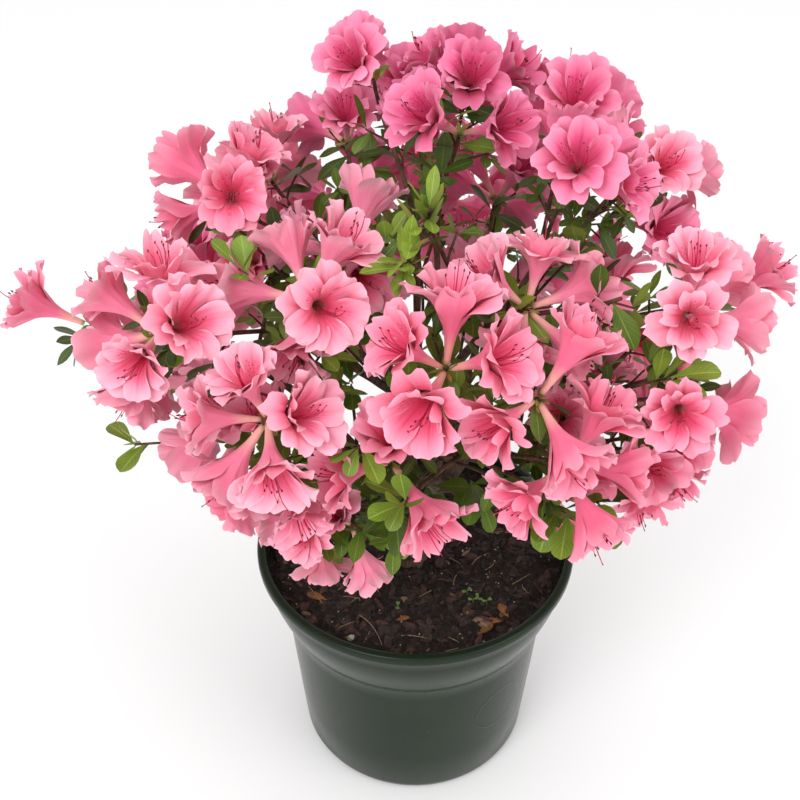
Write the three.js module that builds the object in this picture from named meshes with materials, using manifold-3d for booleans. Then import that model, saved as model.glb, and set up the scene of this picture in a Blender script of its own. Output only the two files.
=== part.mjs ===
// An azalea in full flower in its nursery pot: the pot, its fill of potting mix, the short trunk,
// the boughs, and eighteen masses of flowering shoots that together make the crown.
// Millimetres, +Z up. The origin is the middle of the pot's flat underside.

import * as THREE from 'three';
import { mergeVertices } from 'three/addons/utils/BufferGeometryUtils.js';
import Module from 'manifold-3d';

const wasm = await Module();
wasm.setup();

// ---- Pot and potting mix -------------------------------------------------------------------

const POT_HEIGHT = 173;
const POT_LIP_RADIUS = 108;
const POT_FLOOR = 2.2;                       // thickness of the floor and, about, of the wall
const POT_SIDES = 30;
const SOIL_DROP = 19;                        // the mix lies this far under the lip
const SOIL_CLEARANCE = 0.45;                 // between the mix and the wall that holds it
const SOIL_CROWN = 2.5;                      // the mix rises by this much towards the trunk
const SOIL_TOP = POT_HEIGHT - SOIL_DROP + SOIL_CROWN;

// ---- Plant -----------------------------------------------------------------------------------

const TRUNK_FOOT = 13;                       // radii of the trunk: its flared foot, above that,
const TRUNK_WAIST = 9.5;                     // and at its fork
const TRUNK_TOP = 8.2;
const FORK = new THREE.Vector3(0, 4, 199);   // where the trunk divides
const CROWN = new THREE.Vector3(0, 15, 325); // the middle of the crown
const MAIN_REACH = 0.5;                      // a main bough runs this far towards its masses
const BOUGH_REACH = 0.62;                    // a bough ends this far from the fork to its mass
const MASS_MIDDLE = 0.62;                    // the middle of a mass, as a share of its reach
const JOINT_GAP = 0.3;                       // between a limb and the one that carries it

// Each mass of shoots: name, compass angle, lift above level (degrees), reach from CROWN.
const MASSES = [
  ['crown', 90, 84, 165],
  ['top_left', 152, 50, 170],
  ['top_back', 78, 46, 180],
  ['top_right', 18, 48, 208],
  ['front_high', -50, 50, 188],
  ['left_high', -140, 48, 170],
  ['left', 178, 10, 214],
  ['back_left', 130, 8, 196],
  ['back', 90, 6, 190],
  ['back_right', 50, 8, 200],
  ['right', 6, 12, 216],
  ['right_front', -35, 8, 204],
  ['front', -76, 12, 184],
  ['left_front', -124, 8, 176],
  ['low_left', -162, -22, 158],
  ['low_right', -12, -24, 200],
  ['low_front', -60, -34, 160],
  ['low_tuft', -118, -50, 152],
];

// The main boughs, each with the masses that it carries.
const MAIN_BOUGHS = [
  ['main_bough_left', ['left', 'low_left', 'left_front', 'low_tuft']],
  ['main_bough_back', ['back', 'back_left', 'top_back']],
  ['main_bough_right', ['right', 'low_right', 'back_right', 'right_front']],
  ['main_bough_front', ['front', 'low_front', 'front_high']],
  ['main_bough_middle', ['crown', 'top_left', 'top_right', 'left_high']],
];

const SHOOTS = 42;                           // shoots spread over the crown
const LOWEST_LIFT = -21;                     // degrees: the crown's skirt ends here
const DEEP_SHOOTS = 3;                       // one shoot in this many stands deeper in the crown
const TRUSS_DEPTH = 0.8;                     // flower lengths from a shoot's tip to the outline
const LEAFY_DEPTH = 0.9;
const SPIRAL_START = 0.3;                    // compass angle of the first shoot, radians
const SHOOT_WANDER = [0.06, 0.08];           // how far a shoot strays in lift and compass, radians
const DEPTHS = { outer: [0.9, 1.04], deep: [0.62, 0.8] }; // share of the crown's reach
const SHOOT_RISE = 0.22;                     // how far shoots turn up from straight outwards
const TRUSS_COUNTS = [3, 3, 4, 4, 5, 5];     // flowers on a shoot, drawn from these
const TRUSS_SPREAD = [48, 76];               // degrees that a flower leans out from its shoot
const CLEARED = 0.975;                       // cosine: no other shoot this near to a placed one
const FLOWER_LENGTH = 47;
const FLOWER_RADIUS = 23;
const FLOWER_SIZES = [0.84, 1.04];
const LEAF_LENGTH = 25;
const LEAF_WIDTH = 13;
const LEAF_THICKNESS = 0.9;
const TWIG_RADIUS = 1.7;
const MAIN_ROOTS = 0.45;                     // main boughs leave the trunk this far off its middle
const MAIN_RADII = [5.4, 3.8];               // root and tip of a main bough
const BOUGH_RADII = [3.3, 2.5];              // root and tip of the bough under a mass
const SIMPLIFY = 0.06;                       // slivers finer than this are closed up

// Trusses that stand out from the rest: compass angle, lift, reach of the shoot's tip, flowers.
const STANDING_OUT = [
  [-172, 9, 196, 1],
  [118, 70, 160, 2],
  [-5, 13, 178, 1],
  [-150, 21, 172, 6],
  [-123, 14, 150, 5],
  [-26, 23, 172, 4],
  [-61, 6, 156, 4],
  [-84, 29, 138, 4],
  [-97, 3, 122, 3],
  [-35, 10, 172, 3],
  [-65, 21, 150, 3],
  [12, 36, 166, 3],
];

// Low trusses of smaller flowers that hang over the rim.
const LOW_TRUSSES = [
  [-128, -41, 126, 3],
  [-114, -36, 120, 2],
  [-50, -17, 128, 2],
  [-16, -16, 158, 3],
];
const LOW_SIZE = 0.82;

// Leafy shoots with no flowers: compass angle and lift.
const LEAFY = [[-85, 66], [-95, 54], [2, 42], [-60, -8], [-96, -12], [-36, 32], [-28, 10], [-122, 26]];

// ---- Seeded growth rule ----------------------------------------------------------------------

const GOLDEN_ANGLE = Math.PI * (3 - Math.sqrt(5));
const UP = new THREE.Vector3(0, 0, 1);

/** Repeatable random draws: each shoot has its own seed. */
function draws(seed) {
  let state = (seed * 2654435761 + 1013904223) % 4294967296;
  const draw = (low = 0, high = 1) => {
    state = (Math.imul(state, 1664525) + 1013904223) >>> 0;
    return low + (high - low) * state / 4294967296;
  };
  draw();
  draw();
  return draw;
}

const radians = THREE.MathUtils.degToRad;

function heading(compass, lift) {
  const a = radians(compass);
  const l = radians(lift);
  return new THREE.Vector3(Math.cos(l) * Math.cos(a), Math.cos(l) * Math.sin(a), Math.sin(l));
}

/** Two directions square to an axis. */
function sides(axis) {
  const side = Math.abs(axis.z) < 0.95
    ? new THREE.Vector3().crossVectors(axis, UP)
    : new THREE.Vector3(1, 0, 0);
  side.addScaledVector(axis, -side.dot(axis)).normalize();
  return [side, new THREE.Vector3().crossVectors(axis, side)];
}

/** An axis leant over by tilt, towards the side that spin picks. */
function tilted(axis, tilt, spin) {
  const [side, over] = sides(axis);
  return axis.clone().multiplyScalar(Math.cos(tilt))
    .addScaledVector(side, Math.sin(tilt) * Math.cos(spin))
    .addScaledVector(over, Math.sin(tilt) * Math.sin(spin));
}

const masses = MASSES.map(([name, compass, lift, reach]) => {
  const way = heading(compass, lift);
  return { name, way, reach, middle: CROWN.clone().addScaledVector(way, reach * MASS_MIDDLE) };
});

function nearestMass(way) {
  return masses.reduce((best, mass) => (mass.way.dot(way) > best.way.dot(way) ? mass : best));
}

/** How far the crown reaches in a direction: the masses' reaches, blended. */
function outline(way) {
  const SHARPNESS = 9;
  let total = 0;
  let sum = 0;
  for (const mass of masses) {
    const weight = Math.exp(SHARPNESS * (way.dot(mass.way) - 1));
    total += weight;
    sum += weight * mass.reach;
  }
  return sum / total;
}

const LONE_TILT = 0.2;                       // radians: a flower alone on its shoot hardly leans

/** One shoot: where its tip is, which way it points and the flowers of its truss. */
function shoot(way, reach, count, size, draw) {
  const tip = CROWN.clone().addScaledVector(way, reach);
  const axis = way.clone().addScaledVector(UP, SHOOT_RISE).normalize();
  const start = draw(0, 2 * Math.PI);
  const flowers = [];
  for (let i = 0; i < count; i++) {
    const flowerSize = size * draw(...FLOWER_SIZES);
    const tilt = count > 1 ? radians(draw(...TRUSS_SPREAD)) : LONE_TILT;
    const spin = start + i * 2 * Math.PI / count + draw(-0.25, 0.25);
    flowers.push({ way: tilted(axis, tilt, spin), size: flowerSize, turn: draw(0, 1.26) });
  }
  return { mass: nearestMass(way), tip, axis, flowers, draw, leafy: count === 0 };
}

/** The shoots over the whole crown, on a spiral, then the ones that are placed by hand. */
function allShoots() {
  const shoots = [];
  const span = 1 - Math.sin(radians(LOWEST_LIFT));
  const isNear = (way) => ([compass, lift]) => way.dot(heading(compass, lift)) > CLEARED;
  for (let i = 0; i < SHOOTS; i++) {
    const draw = draws(700 + i);
    const lift = Math.asin(1 - (i + 0.5) / SHOOTS * span) + draw(-SHOOT_WANDER[0], SHOOT_WANDER[0]);
    const compass = i * GOLDEN_ANGLE + draw(-SHOOT_WANDER[1], SHOOT_WANDER[1]) + SPIRAL_START;
    const way = heading(THREE.MathUtils.radToDeg(compass), THREE.MathUtils.radToDeg(lift));
    const depth = draw(...(i % DEEP_SHOOTS === 1 ? DEPTHS.deep : DEPTHS.outer));
    const reach = (outline(way) - TRUSS_DEPTH * FLOWER_LENGTH) * depth;
    const count = TRUSS_COUNTS[Math.floor(draw() * TRUSS_COUNTS.length)];
    if ([...STANDING_OUT, ...LEAFY].some(isNear(way))) continue;
    shoots.push(shoot(way, reach, count, 1, draw));
  }
  STANDING_OUT.forEach(([compass, lift, reach, count], i) => {
    shoots.push(shoot(heading(compass, lift), reach, count, 1, draws(900 + i)));
  });
  LOW_TRUSSES.forEach(([compass, lift, reach, count], i) => {
    shoots.push(shoot(heading(compass, lift), reach, count, LOW_SIZE, draws(950 + i)));
  });
  LEAFY.forEach(([compass, lift], i) => {
    const way = heading(compass, lift);
    const reach = outline(way) - LEAFY_DEPTH * FLOWER_LENGTH;
    shoots.push(shoot(way, reach, 0, 1, draws(980 + i)));
  });
  return shoots;
}

/** Flowers push their neighbours aside until their faces have room. */
function makeRoom(shoots) {
  const PASSES = 24;
  const FACE_HEIGHT = 0.86;                  // of a flower's length
  const CLOSENESS = 0.9;                     // of two flowers' radii
  const LEAST_COSINE = 0.14;                 // how far a flower may lean from its shoot
  const FIRMNESS = 0.3;                      // share of an overlap that one pass takes away
  const all = shoots.flatMap((s) => s.flowers.map((flower) => ({ s, flower })));
  for (let pass = 0; pass < PASSES; pass++) {
    const arms = all.map(({ flower }) =>
      flower.way.clone().multiplyScalar(FLOWER_LENGTH * FACE_HEIGHT * flower.size));
    const faces = all.map(({ s }, i) => s.tip.clone().add(arms[i]));
    for (let i = 0; i < all.length; i++) {
      for (let j = i + 1; j < all.length; j++) {
        const gap = faces[i].clone().sub(faces[j]);
        const need = FLOWER_RADIUS * CLOSENESS * (all[i].flower.size + all[j].flower.size);
        if (gap.lengthSq() >= need * need) continue;
        const push = (need - gap.length()) / gap.length() * FIRMNESS;
        arms[i].addScaledVector(gap, push);
        arms[j].addScaledVector(gap, -push);
      }
    }
    all.forEach(({ s, flower }, i) => {
      const way = arms[i].normalize();
      const cosine = way.dot(s.axis);
      if (cosine < LEAST_COSINE) way.addScaledVector(s.axis, LEAST_COSINE - cosine).normalize();
      flower.way = way;
    });
  }
}

// ---- Solids ------------------------------------------------------------------------------------

const WELD = 1e-3;                           // points closer than this are one point

/** A manifold-3d solid from a closed three.js geometry. */
function solid(geometry) {
  const plain = geometry.clone();
  plain.deleteAttribute('normal');
  plain.deleteAttribute('uv');
  const merged = mergeVertices(plain, WELD);
  return new wasm.Manifold(new wasm.Mesh({
    numProp: 3,
    vertProperties: new Float32Array(merged.attributes.position.array),
    triVerts: new Uint32Array(merged.index.array),
  }));
}

/** A three.js geometry from a manifold-3d solid. */
function geometryOf(shape) {
  const mesh = shape.getMesh();
  const geometry = new THREE.BufferGeometry();
  geometry.setAttribute('position', new THREE.BufferAttribute(mesh.vertProperties, 3));
  geometry.setIndex(new THREE.BufferAttribute(mesh.triVerts, 1));
  geometry.computeVertexNormals();
  return geometry;
}

/** A closed mesh from points and faces that wind outwards. */
function meshOf(points, faces) {
  const geometry = new THREE.BufferGeometry();
  geometry.setAttribute('position', new THREE.Float32BufferAttribute(points.flatMap((p) => p.toArray()), 3));
  geometry.setIndex(faces.flat());
  return geometry;
}

/** A limb: rings of a few sides along a curve, closed at both ends, which may be drawn longer. */
function limb(curve, steps, sidesRound, radiusAt, longer = 0) {
  const points = [];
  const faces = [];
  let side = sides(curve.getTangent(0))[0];
  for (let i = 0; i <= steps; i++) {
    const t = i / steps;
    const along = curve.getTangent(t);
    side = side.clone().addScaledVector(along, -side.dot(along)).normalize();
    const over = new THREE.Vector3().crossVectors(along, side);
    const beyond = i === 0 ? -longer : i === steps ? longer : 0;
    const centre = curve.getPoint(t).addScaledVector(along, beyond);
    for (let k = 0; k < sidesRound; k++) {
      const angle = k * 2 * Math.PI / sidesRound;
      points.push(centre.clone()
        .addScaledVector(side, radiusAt(t) * Math.cos(angle))
        .addScaledVector(over, radiusAt(t) * Math.sin(angle)));
    }
  }
  for (let i = 0; i < steps; i++) {
    for (let k = 0; k < sidesRound; k++) {
      const a = i * sidesRound + k;
      const b = i * sidesRound + (k + 1) % sidesRound;
      faces.push([a, b, b + sidesRound], [a, b + sidesRound, a + sidesRound]);
    }
  }
  const last = steps * sidesRound;
  for (let k = 1; k < sidesRound - 1; k++) {
    faces.push([0, k + 1, k], [last, last + k, last + k + 1]);
  }
  return solid(meshOf(points, faces));
}

/** The way from base to tip, as a matrix that takes +Z onto it. */
function placing(base, way, turn) {
  const [side, over] = sides(way);
  const turned = side.multiplyScalar(Math.cos(turn)).addScaledVector(over, Math.sin(turn));
  const across = new THREE.Vector3().crossVectors(way, turned);
  return new THREE.Matrix4().makeBasis(turned, across, way).setPosition(base);
}

function placed(geometry, matrix) {
  return solid(geometry.clone().applyMatrix4(matrix));
}

/** A flower: a funnel with five lobes, thirty faces. Its foot is sunk into the shoot's tip. */
function flowerGeometry(size) {
  const LOBES = 5;
  const VALLEY = [0.76, 0.83];               // radius and height, as shares of the flower's own
  const LOBE_TIP = [1, 0.92];
  const THROAT_RADIUS = 5.5;
  const THROAT_HEIGHT = 0.5;
  const THROAT_FLOOR = 0.56;
  const FOOT = 0.7;
  const length = FLOWER_LENGTH * size;
  const ring = (radius, height, turn) => Array.from({ length: LOBES }, (_, lobe) => {
    const angle = (lobe + turn) * 2 * Math.PI / LOBES;
    return new THREE.Vector3(radius * size * Math.cos(angle), radius * size * Math.sin(angle), length * height);
  });
  const points = [
    new THREE.Vector3(0, 0, -FOOT),
    new THREE.Vector3(0, 0, length * THROAT_FLOOR),
    ...ring(THROAT_RADIUS, THROAT_HEIGHT, 0.5),
    ...ring(FLOWER_RADIUS * VALLEY[0], VALLEY[1], 0),
    ...ring(FLOWER_RADIUS * LOBE_TIP[0], LOBE_TIP[1], 0.5),
  ];
  const faces = [];
  for (let lobe = 0; lobe < LOBES; lobe++) {
    const next = (lobe + 1) % LOBES;
    const [throat, nextThroat] = [2 + lobe, 2 + next];
    const [valley, nextValley] = [2 + LOBES + lobe, 2 + LOBES + next];
    const tip = 2 + 2 * LOBES + lobe;
    faces.push([0, nextThroat, throat], [throat, tip, valley], [throat, nextValley, tip]);
    faces.push([throat, nextThroat, nextValley], [1, valley, tip], [1, tip, nextValley]);
  }
  return meshOf(points, faces);
}

/** A leaf: eight faces, folded a little along its rib, its root sunk into the twig. */
function leafGeometry(size) {
  const ROOT = 0.5;
  const WIDEST = 0.62;
  const FOLD = 1.6;
  const length = LEAF_LENGTH * size;
  const half = LEAF_WIDTH * size / 2;
  const thick = LEAF_THICKNESS / 2;
  const points = [
    new THREE.Vector3(0, 0, -ROOT),
    new THREE.Vector3(half, FOLD, length * WIDEST),
    new THREE.Vector3(0, 0, length),
    new THREE.Vector3(-half, FOLD, length * WIDEST),
    new THREE.Vector3(0, thick + FOLD / 2, length * 0.5),
    new THREE.Vector3(0, -thick - FOLD / 2, length * 0.5),
  ];
  const faces = [];
  for (let i = 0; i < 4; i++) {
    const next = (i + 1) % 4;
    faces.push([next, i, 4], [i, next, 5]);
  }
  return meshOf(points, faces);
}

// ---- The group of named pieces -----------------------------------------------------------------

const azalea = new THREE.Group();
const finishes = {
  plastic: new THREE.MeshStandardMaterial({ color: 0x35453a, roughness: 0.35, metalness: 0 }),
  mix: new THREE.MeshStandardMaterial({ color: 0x3a2921, roughness: 0.95, metalness: 0 }),
  bark: new THREE.MeshStandardMaterial({ color: 0x5a4334, roughness: 0.85, metalness: 0 }),
  blossom: new THREE.MeshStandardMaterial({ color: 0xf07f96, roughness: 0.6, metalness: 0 }),
};

function addPiece(name, geometry, finish) {
  const mesh = new THREE.Mesh(geometry, finishes[finish]);
  mesh.name = name;
  azalea.add(mesh);
}

// The pot: a thin moulded shell with a rolled lip, a band under it that tapers in, a small step,
// and a body that narrows to a rounded foot. Points are radius and height of the outside.
const potOutside = [
  [76, 0], [80.8, 4], [90.6, 121], [92.6, 123], [98.8, 139], [103, 155],
  [103.8, 165.5], [POT_LIP_RADIUS, 166.5], [POT_LIP_RADIUS, 171], [106.5, POT_HEIGHT],
];
const potInside = [[102.2, POT_HEIGHT], [100.6, 155], [96.4, 139], [88.4, 121], [78.6, POT_FLOOR]];
const potProfile = [[0, 0], ...potOutside, ...potInside, [0, POT_FLOOR]];
const turned = (profile) => solid(new THREE.LatheGeometry(
  profile.map(([radius, height]) => new THREE.Vector2(radius, height)), POT_SIDES)
  .rotateX(Math.PI / 2));
const potSolid = turned(potProfile);
addPiece('pot', geometryOf(potSolid), 'plastic');

// The potting mix fills the pot to its level, with a low rise towards the trunk.
const soilEdge = POT_HEIGHT - SOIL_DROP;
const soilSides = potInside.filter(([, height]) => height < soilEdge)
  .map(([radius, height]) => [radius - SOIL_CLEARANCE, Math.max(height, POT_FLOOR + SOIL_CLEARANCE)])
  .reverse();
const soilProfile = [
  [0, POT_FLOOR + SOIL_CLEARANCE], ...soilSides, [99.6, soilEdge - 1.5],
  [94, soilEdge], [28, SOIL_TOP], [0, SOIL_TOP],
];
const mixSolid = turned(soilProfile);
addPiece('potting_mix', geometryOf(mixSolid), 'mix');

// Every limb is kept here a little fattened, so that the next ones are cut clear of it.
const fattened = [];

/** A shape with its slivers closed up, and without its loose scraps and sealed hollows. */
function cleaned(shape) {
  const largest = (bodies) => bodies.reduce((best, body) => (body.volume() > best.volume() ? body : best));
  const welded = solid(geometryOf(largest(shape.simplify(SIMPLIFY).decompose())));
  return largest(welded.decompose());
}

/** Adds a limb that is cut clear of the ones before it. */
function addLimb(name, curve, steps, sidesRound, radiusAt) {
  let body = limb(curve, steps, sidesRound, radiusAt);
  for (const other of fattened) body = body.subtract(other);
  fattened.push(limb(curve, steps, sidesRound, (t) => radiusAt(t) + JOINT_GAP, JOINT_GAP));
  addPiece(name, geometryOf(cleaned(body)), 'bark');
}

// The trunk: a flared foot, a slight lean, and a flat cut where it stands on the mix.
const TRUNK_BURIED = 6;                      // drawn this much deeper, then cut off level
const cutHeight = SOIL_TOP + JOINT_GAP;
const trunkFoot = new THREE.Vector3(-4, -2, cutHeight - TRUNK_BURIED);
const trunkLine = new THREE.CatmullRomCurve3([
  trunkFoot,
  trunkFoot.clone().lerp(FORK, 0.35).add(new THREE.Vector3(0.8, -0.8, 0)),
  trunkFoot.clone().lerp(FORK, 0.7).add(new THREE.Vector3(1.2, 0.6, 0)),
  FORK,
]);
const TRUNK_RINGS = [6, 8];                  // steps along, sides round
const trunkRadius = (t) =>
  THREE.MathUtils.lerp(TRUNK_WAIST, TRUNK_TOP, t) + (TRUNK_FOOT - TRUNK_WAIST) * (1 - t) ** 4;
addPiece('trunk', geometryOf(
  limb(trunkLine, ...TRUNK_RINGS, trunkRadius).trimByPlane([0, 0, 1], cutHeight)), 'bark');
fattened.push(limb(trunkLine, ...TRUNK_RINGS, (t) => trunkRadius(t) + JOINT_GAP, JOINT_GAP));

/** A line that leaves its root along one direction and bends round to its tip. */
function archedLine(root, leaving, tip, bend) {
  const control = root.clone().addScaledVector(leaving, root.distanceTo(tip) * bend);
  return new THREE.QuadraticBezierCurve3(root, control, tip);
}

// Main boughs rise from round the trunk's top, and each divides into one bough for every mass,
// which ends at the mass's root.
for (const mass of masses) mass.root = FORK.clone().lerp(mass.middle, BOUGH_REACH);
const taper = (thick, thin) => (t) => THREE.MathUtils.lerp(thick, thin, t);
const byName = Object.fromEntries(masses.map((mass) => [mass.name, mass]));
const mainEnds = MAIN_BOUGHS.map(([name, carried]) => {
  const middle = carried.reduce((sum, key) => sum.add(byName[key].root), new THREE.Vector3())
    .divideScalar(carried.length);
  const end = FORK.clone().lerp(middle, MAIN_REACH);
  const outwards = end.clone().sub(FORK).setZ(0).normalize();
  const root = FORK.clone().addScaledVector(outwards, TRUNK_TOP * MAIN_ROOTS);
  const leaving = UP.clone().add(outwards).normalize();
  const line = archedLine(root, leaving, end, 0.5);
  addLimb(name, line, 4, 5, taper(...MAIN_RADII));
  return { line, carried };
});
for (const { line, carried } of mainEnds) {
  for (const key of carried) {
    const mass = byName[key];
    mass.line = archedLine(line.getPoint(1), line.getTangent(1), mass.root, 0.35);
    addLimb(`bough_${key}`, mass.line, 3, 5, taper(...BOUGH_RADII));
  }
}

// ---- Masses of shoots --------------------------------------------------------------------------

const TWIG_STEPS = 3;
const STEM_STEPS = 3;
const TWIG_SIDES = 3;
const STEM_SIDES = 4;
const STEM_SHARE = 0.35;                     // of the way from a mass's root to its shoots
const STEM_BEND = 0.4;
const FIRST_TWIG = 0.45;                     // twigs leave from this share of the stem to its tip
const TIP_STRAIGHT = 0.3;                    // share of a twig that points along its shoot
const HUB_RADIUS = 3.0;                      // the bud that a truss grows from
const LEAF_STEP = 2.6;                       // leaves of a whorl follow each other down the twig
const BENDS = [0.35, 0.2, 0.5, 0.05];        // how far a twig follows its stem before it turns

/** The leaves of a shoot: a whorl under the truss, or a fuller and steeper one on a leafy shoot. */
function leavesOf(s, twig) {
  const { draw } = s;
  const { whorl, lean, along } = s.leafy
    ? { whorl: 3, lean: [30, 80], along: [0.7] }
    : { whorl: 3, lean: [72, 108], along: [] };
  const start = draw(0, 2 * Math.PI);
  const leaves = [];
  for (let i = 0; i < whorl; i++) {
    const tilt = radians(draw(...lean));
    const spin = start + i * 2 * Math.PI / whorl + draw(-0.3, 0.3);
    const base = s.tip.clone().addScaledVector(s.axis, -HUB_RADIUS - i * LEAF_STEP);
    leaves.push({ base, way: tilted(s.axis, tilt, spin), size: draw(0.8, 1.15) });
  }
  for (const share of along) {
    const tilt = radians(draw(45, 75));
    const way = tilted(twig.getTangent(share), tilt, draw(0, 2 * Math.PI));
    leaves.push({ base: twig.getPoint(share), way, size: draw(0.6, 0.95) });
  }
  return leaves;
}

// Every piece that is already placed, so that the next ones keep clear of other nodes' pieces.
const placedPieces = [];

function boxOf(shape) {
  const { min, max } = shape.boundingBox();
  return new THREE.Box3(new THREE.Vector3(...min), new THREE.Vector3(...max));
}

function keep(shape, owner) {
  placedPieces.push({ shape, owner, box: boxOf(shape).expandByScalar(JOINT_GAP) });
}

/** Keeps a piece for its mass if it stays clear of everything that other nodes hold. */
function keepIfClear(shape, owner) {
  const box = boxOf(shape);
  const clear = placedPieces.every((other) => other.owner === owner
    || !box.intersectsBox(other.box)
    || shape.minGap(other.shape, JOINT_GAP) >= JOINT_GAP * 0.99);
  if (clear) keep(shape, owner);
  return clear;
}

/** A twig swells at its end into the bud that the truss grows from. */
function twigRadius(t) {
  return t > 0.99 ? HUB_RADIUS : THREE.MathUtils.lerp(TWIG_RADIUS, TWIG_RADIUS * 0.8, t);
}

const SMALLER = [1, 0.88, 0.76];             // sizes that a crowded flower tries in turn
const shoots = allShoots();
makeRoom(shoots);
for (const shape of [...fattened, potSolid, mixSolid]) keep(shape, null);

// First the stem of every mass and its twigs, so that no flower stands in their way.
for (const mass of masses) {
  mass.shoots = shoots.filter((s) => s.mass === mass);
  const middle = mass.shoots.reduce((sum, s) => sum.add(s.tip), new THREE.Vector3())
    .divideScalar(mass.shoots.length);
  const stemTip = mass.root.clone().lerp(middle, STEM_SHARE);
  mass.stem = archedLine(mass.root, mass.line.getTangent(1), stemTip, STEM_BEND);
  let body = limb(mass.stem, STEM_STEPS, STEM_SIDES, taper(TWIG_RADIUS * 1.35, TWIG_RADIUS * 1.1));
  for (const other of fattened) body = body.subtract(other);
  keep(cleaned(body), mass);
}
for (const mass of masses) {
  mass.shoots.forEach((s, i) => {
    const along = THREE.MathUtils.lerp(FIRST_TWIG, 1, (i + 1) / mass.shoots.length);
    const root = mass.stem.getPoint(along);
    const stretch = root.distanceTo(s.tip);
    s.twig = BENDS.map((bend) => new THREE.CubicBezierCurve3(root,
      root.clone().addScaledVector(mass.stem.getTangent(along), stretch * bend),
      s.tip.clone().addScaledVector(s.axis, -stretch * TIP_STRAIGHT), s.tip))
      .find((line) => keepIfClear(limb(line, TWIG_STEPS, TWIG_SIDES, twigRadius, 1), mass));
  });
}

// Then the flowers, and the leaves where there is room for them.
const grown = shoots.filter((s) => s.twig);
for (const s of grown) {
  for (const flower of s.flowers) {
    const place = placing(s.tip, flower.way, flower.turn);
    SMALLER.some((share) => keepIfClear(placed(flowerGeometry(flower.size * share), place), s.mass));
  }
}
for (const s of grown) {
  for (const leaf of leavesOf(s, s.twig)) {
    keepIfClear(placed(leafGeometry(leaf.size), placing(leaf.base, leaf.way, 0)), s.mass);
  }
}
for (const mass of masses) {
  const parts = placedPieces.filter((piece) => piece.owner === mass).map((piece) => piece.shape);
  addPiece(mass.name, geometryOf(cleaned(wasm.Manifold.union(parts))), 'blossom');
}

export default azalea;
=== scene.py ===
"""An azalea in full flower in its nursery pot.

Lengths are in millimetres and become metres where a mesh is made. +Z is up, -Y is the front.
"""

import math
from types import SimpleNamespace

import bpy
import numpy as np
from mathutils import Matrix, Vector, noise


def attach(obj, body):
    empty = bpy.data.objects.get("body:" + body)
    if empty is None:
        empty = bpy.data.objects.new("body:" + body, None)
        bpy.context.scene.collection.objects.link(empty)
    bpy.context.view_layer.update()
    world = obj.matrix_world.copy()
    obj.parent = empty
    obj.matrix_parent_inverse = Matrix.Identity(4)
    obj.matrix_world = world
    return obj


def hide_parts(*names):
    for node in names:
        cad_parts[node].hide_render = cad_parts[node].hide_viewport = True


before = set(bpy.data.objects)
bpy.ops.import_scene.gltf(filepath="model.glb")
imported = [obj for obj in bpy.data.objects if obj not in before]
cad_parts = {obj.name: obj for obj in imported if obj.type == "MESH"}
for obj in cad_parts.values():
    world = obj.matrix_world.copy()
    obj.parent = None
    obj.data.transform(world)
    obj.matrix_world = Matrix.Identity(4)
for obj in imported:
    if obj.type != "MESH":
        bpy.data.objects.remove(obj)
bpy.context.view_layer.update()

# ---- Camera ---------------------------------------------------------------------------------
# It stands in front of the plant, about head height above a plant on the ground, and looks down
# on it far enough to show the potting mix under the flowers.

CAMERA_AIM = Vector((-0.0105, 0.0, 0.2914))
CAMERA_ELEVATION = math.radians(37.7)
CAMERA_DISTANCE = 0.7495

camera = bpy.data.objects.new("camera", bpy.data.cameras.new("camera"))
camera.data.lens = 54
camera.data.clip_start = 0.01
camera.location = CAMERA_AIM + CAMERA_DISTANCE * Vector(
    (0, -math.cos(CAMERA_ELEVATION), math.sin(CAMERA_ELEVATION)))
camera.rotation_euler = (math.pi / 2 - CAMERA_ELEVATION, 0, 0)
bpy.context.scene.collection.objects.link(camera)
bpy.context.scene.camera = camera

# ---- How the plant grows --------------------------------------------------------------------
# A short trunk forks into five main boughs, and these into one bough for each mass of shoots.
# Shoots stand on a spiral round the middle of the crown, and end in a truss of flowers or a
# tuft of leaves. The same seeded rule grew the solids.

FORK = np.array([0.0, 4.0, 199.0])       # where the trunk divides
CROWN = np.array([0.0, 15.0, 325.0])     # the middle of the crown
UP = np.array([0.0, 0.0, 1.0])
TRUNK_TOP = 8.2      # the trunk's radius at its fork
MAIN_ROOTS = 0.45    # main boughs leave the trunk this share of its radius off the middle
MAIN_REACH = 0.5     # a main bough runs this far towards its masses
BOUGH_REACH = 0.62   # a bough ends this far from the fork to its mass
MASS_MIDDLE = 0.62   # the middle of a mass, as a share of its reach
STEM_REACH = 0.35    # a mass's stem runs this far towards the middle of its shoots
FIRST_TWIG = 0.45    # the shoots' twigs leave the stem from here on to its tip

# Each mass of shoots: compass angle, lift above level (degrees), reach from CROWN.
MASSES = {
    "crown": (90, 84, 165), "top_left": (152, 50, 170), "top_back": (78, 46, 180),
    "top_right": (18, 48, 208), "front_high": (-50, 50, 188), "left_high": (-140, 48, 170),
    "left": (178, 10, 214), "back_left": (130, 8, 196), "back": (90, 6, 190),
    "back_right": (50, 8, 200), "right": (6, 12, 216), "right_front": (-35, 8, 204),
    "front": (-76, 12, 184), "left_front": (-124, 8, 176), "low_left": (-162, -22, 158),
    "low_right": (-12, -24, 200), "low_front": (-60, -34, 160), "low_tuft": (-118, -50, 152),
}
MAIN_BOUGHS = {
    "main_bough_left": ("left", "low_left", "left_front", "low_tuft"),
    "main_bough_back": ("back", "back_left", "top_back"),
    "main_bough_right": ("right", "low_right", "back_right", "right_front"),
    "main_bough_front": ("front", "low_front", "front_high"),
    "main_bough_middle": ("crown", "top_left", "top_right", "left_high"),
}
SHOOTS = 42                          # shoots spread over the crown
LOWEST_LIFT = math.radians(-21)      # the crown's skirt ends here
SPIRAL_START = 0.3                   # compass angle of the first shoot, radians
SHOOT_WANDER = (0.06, 0.08)          # how far a shoot strays in lift and compass, radians
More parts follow.
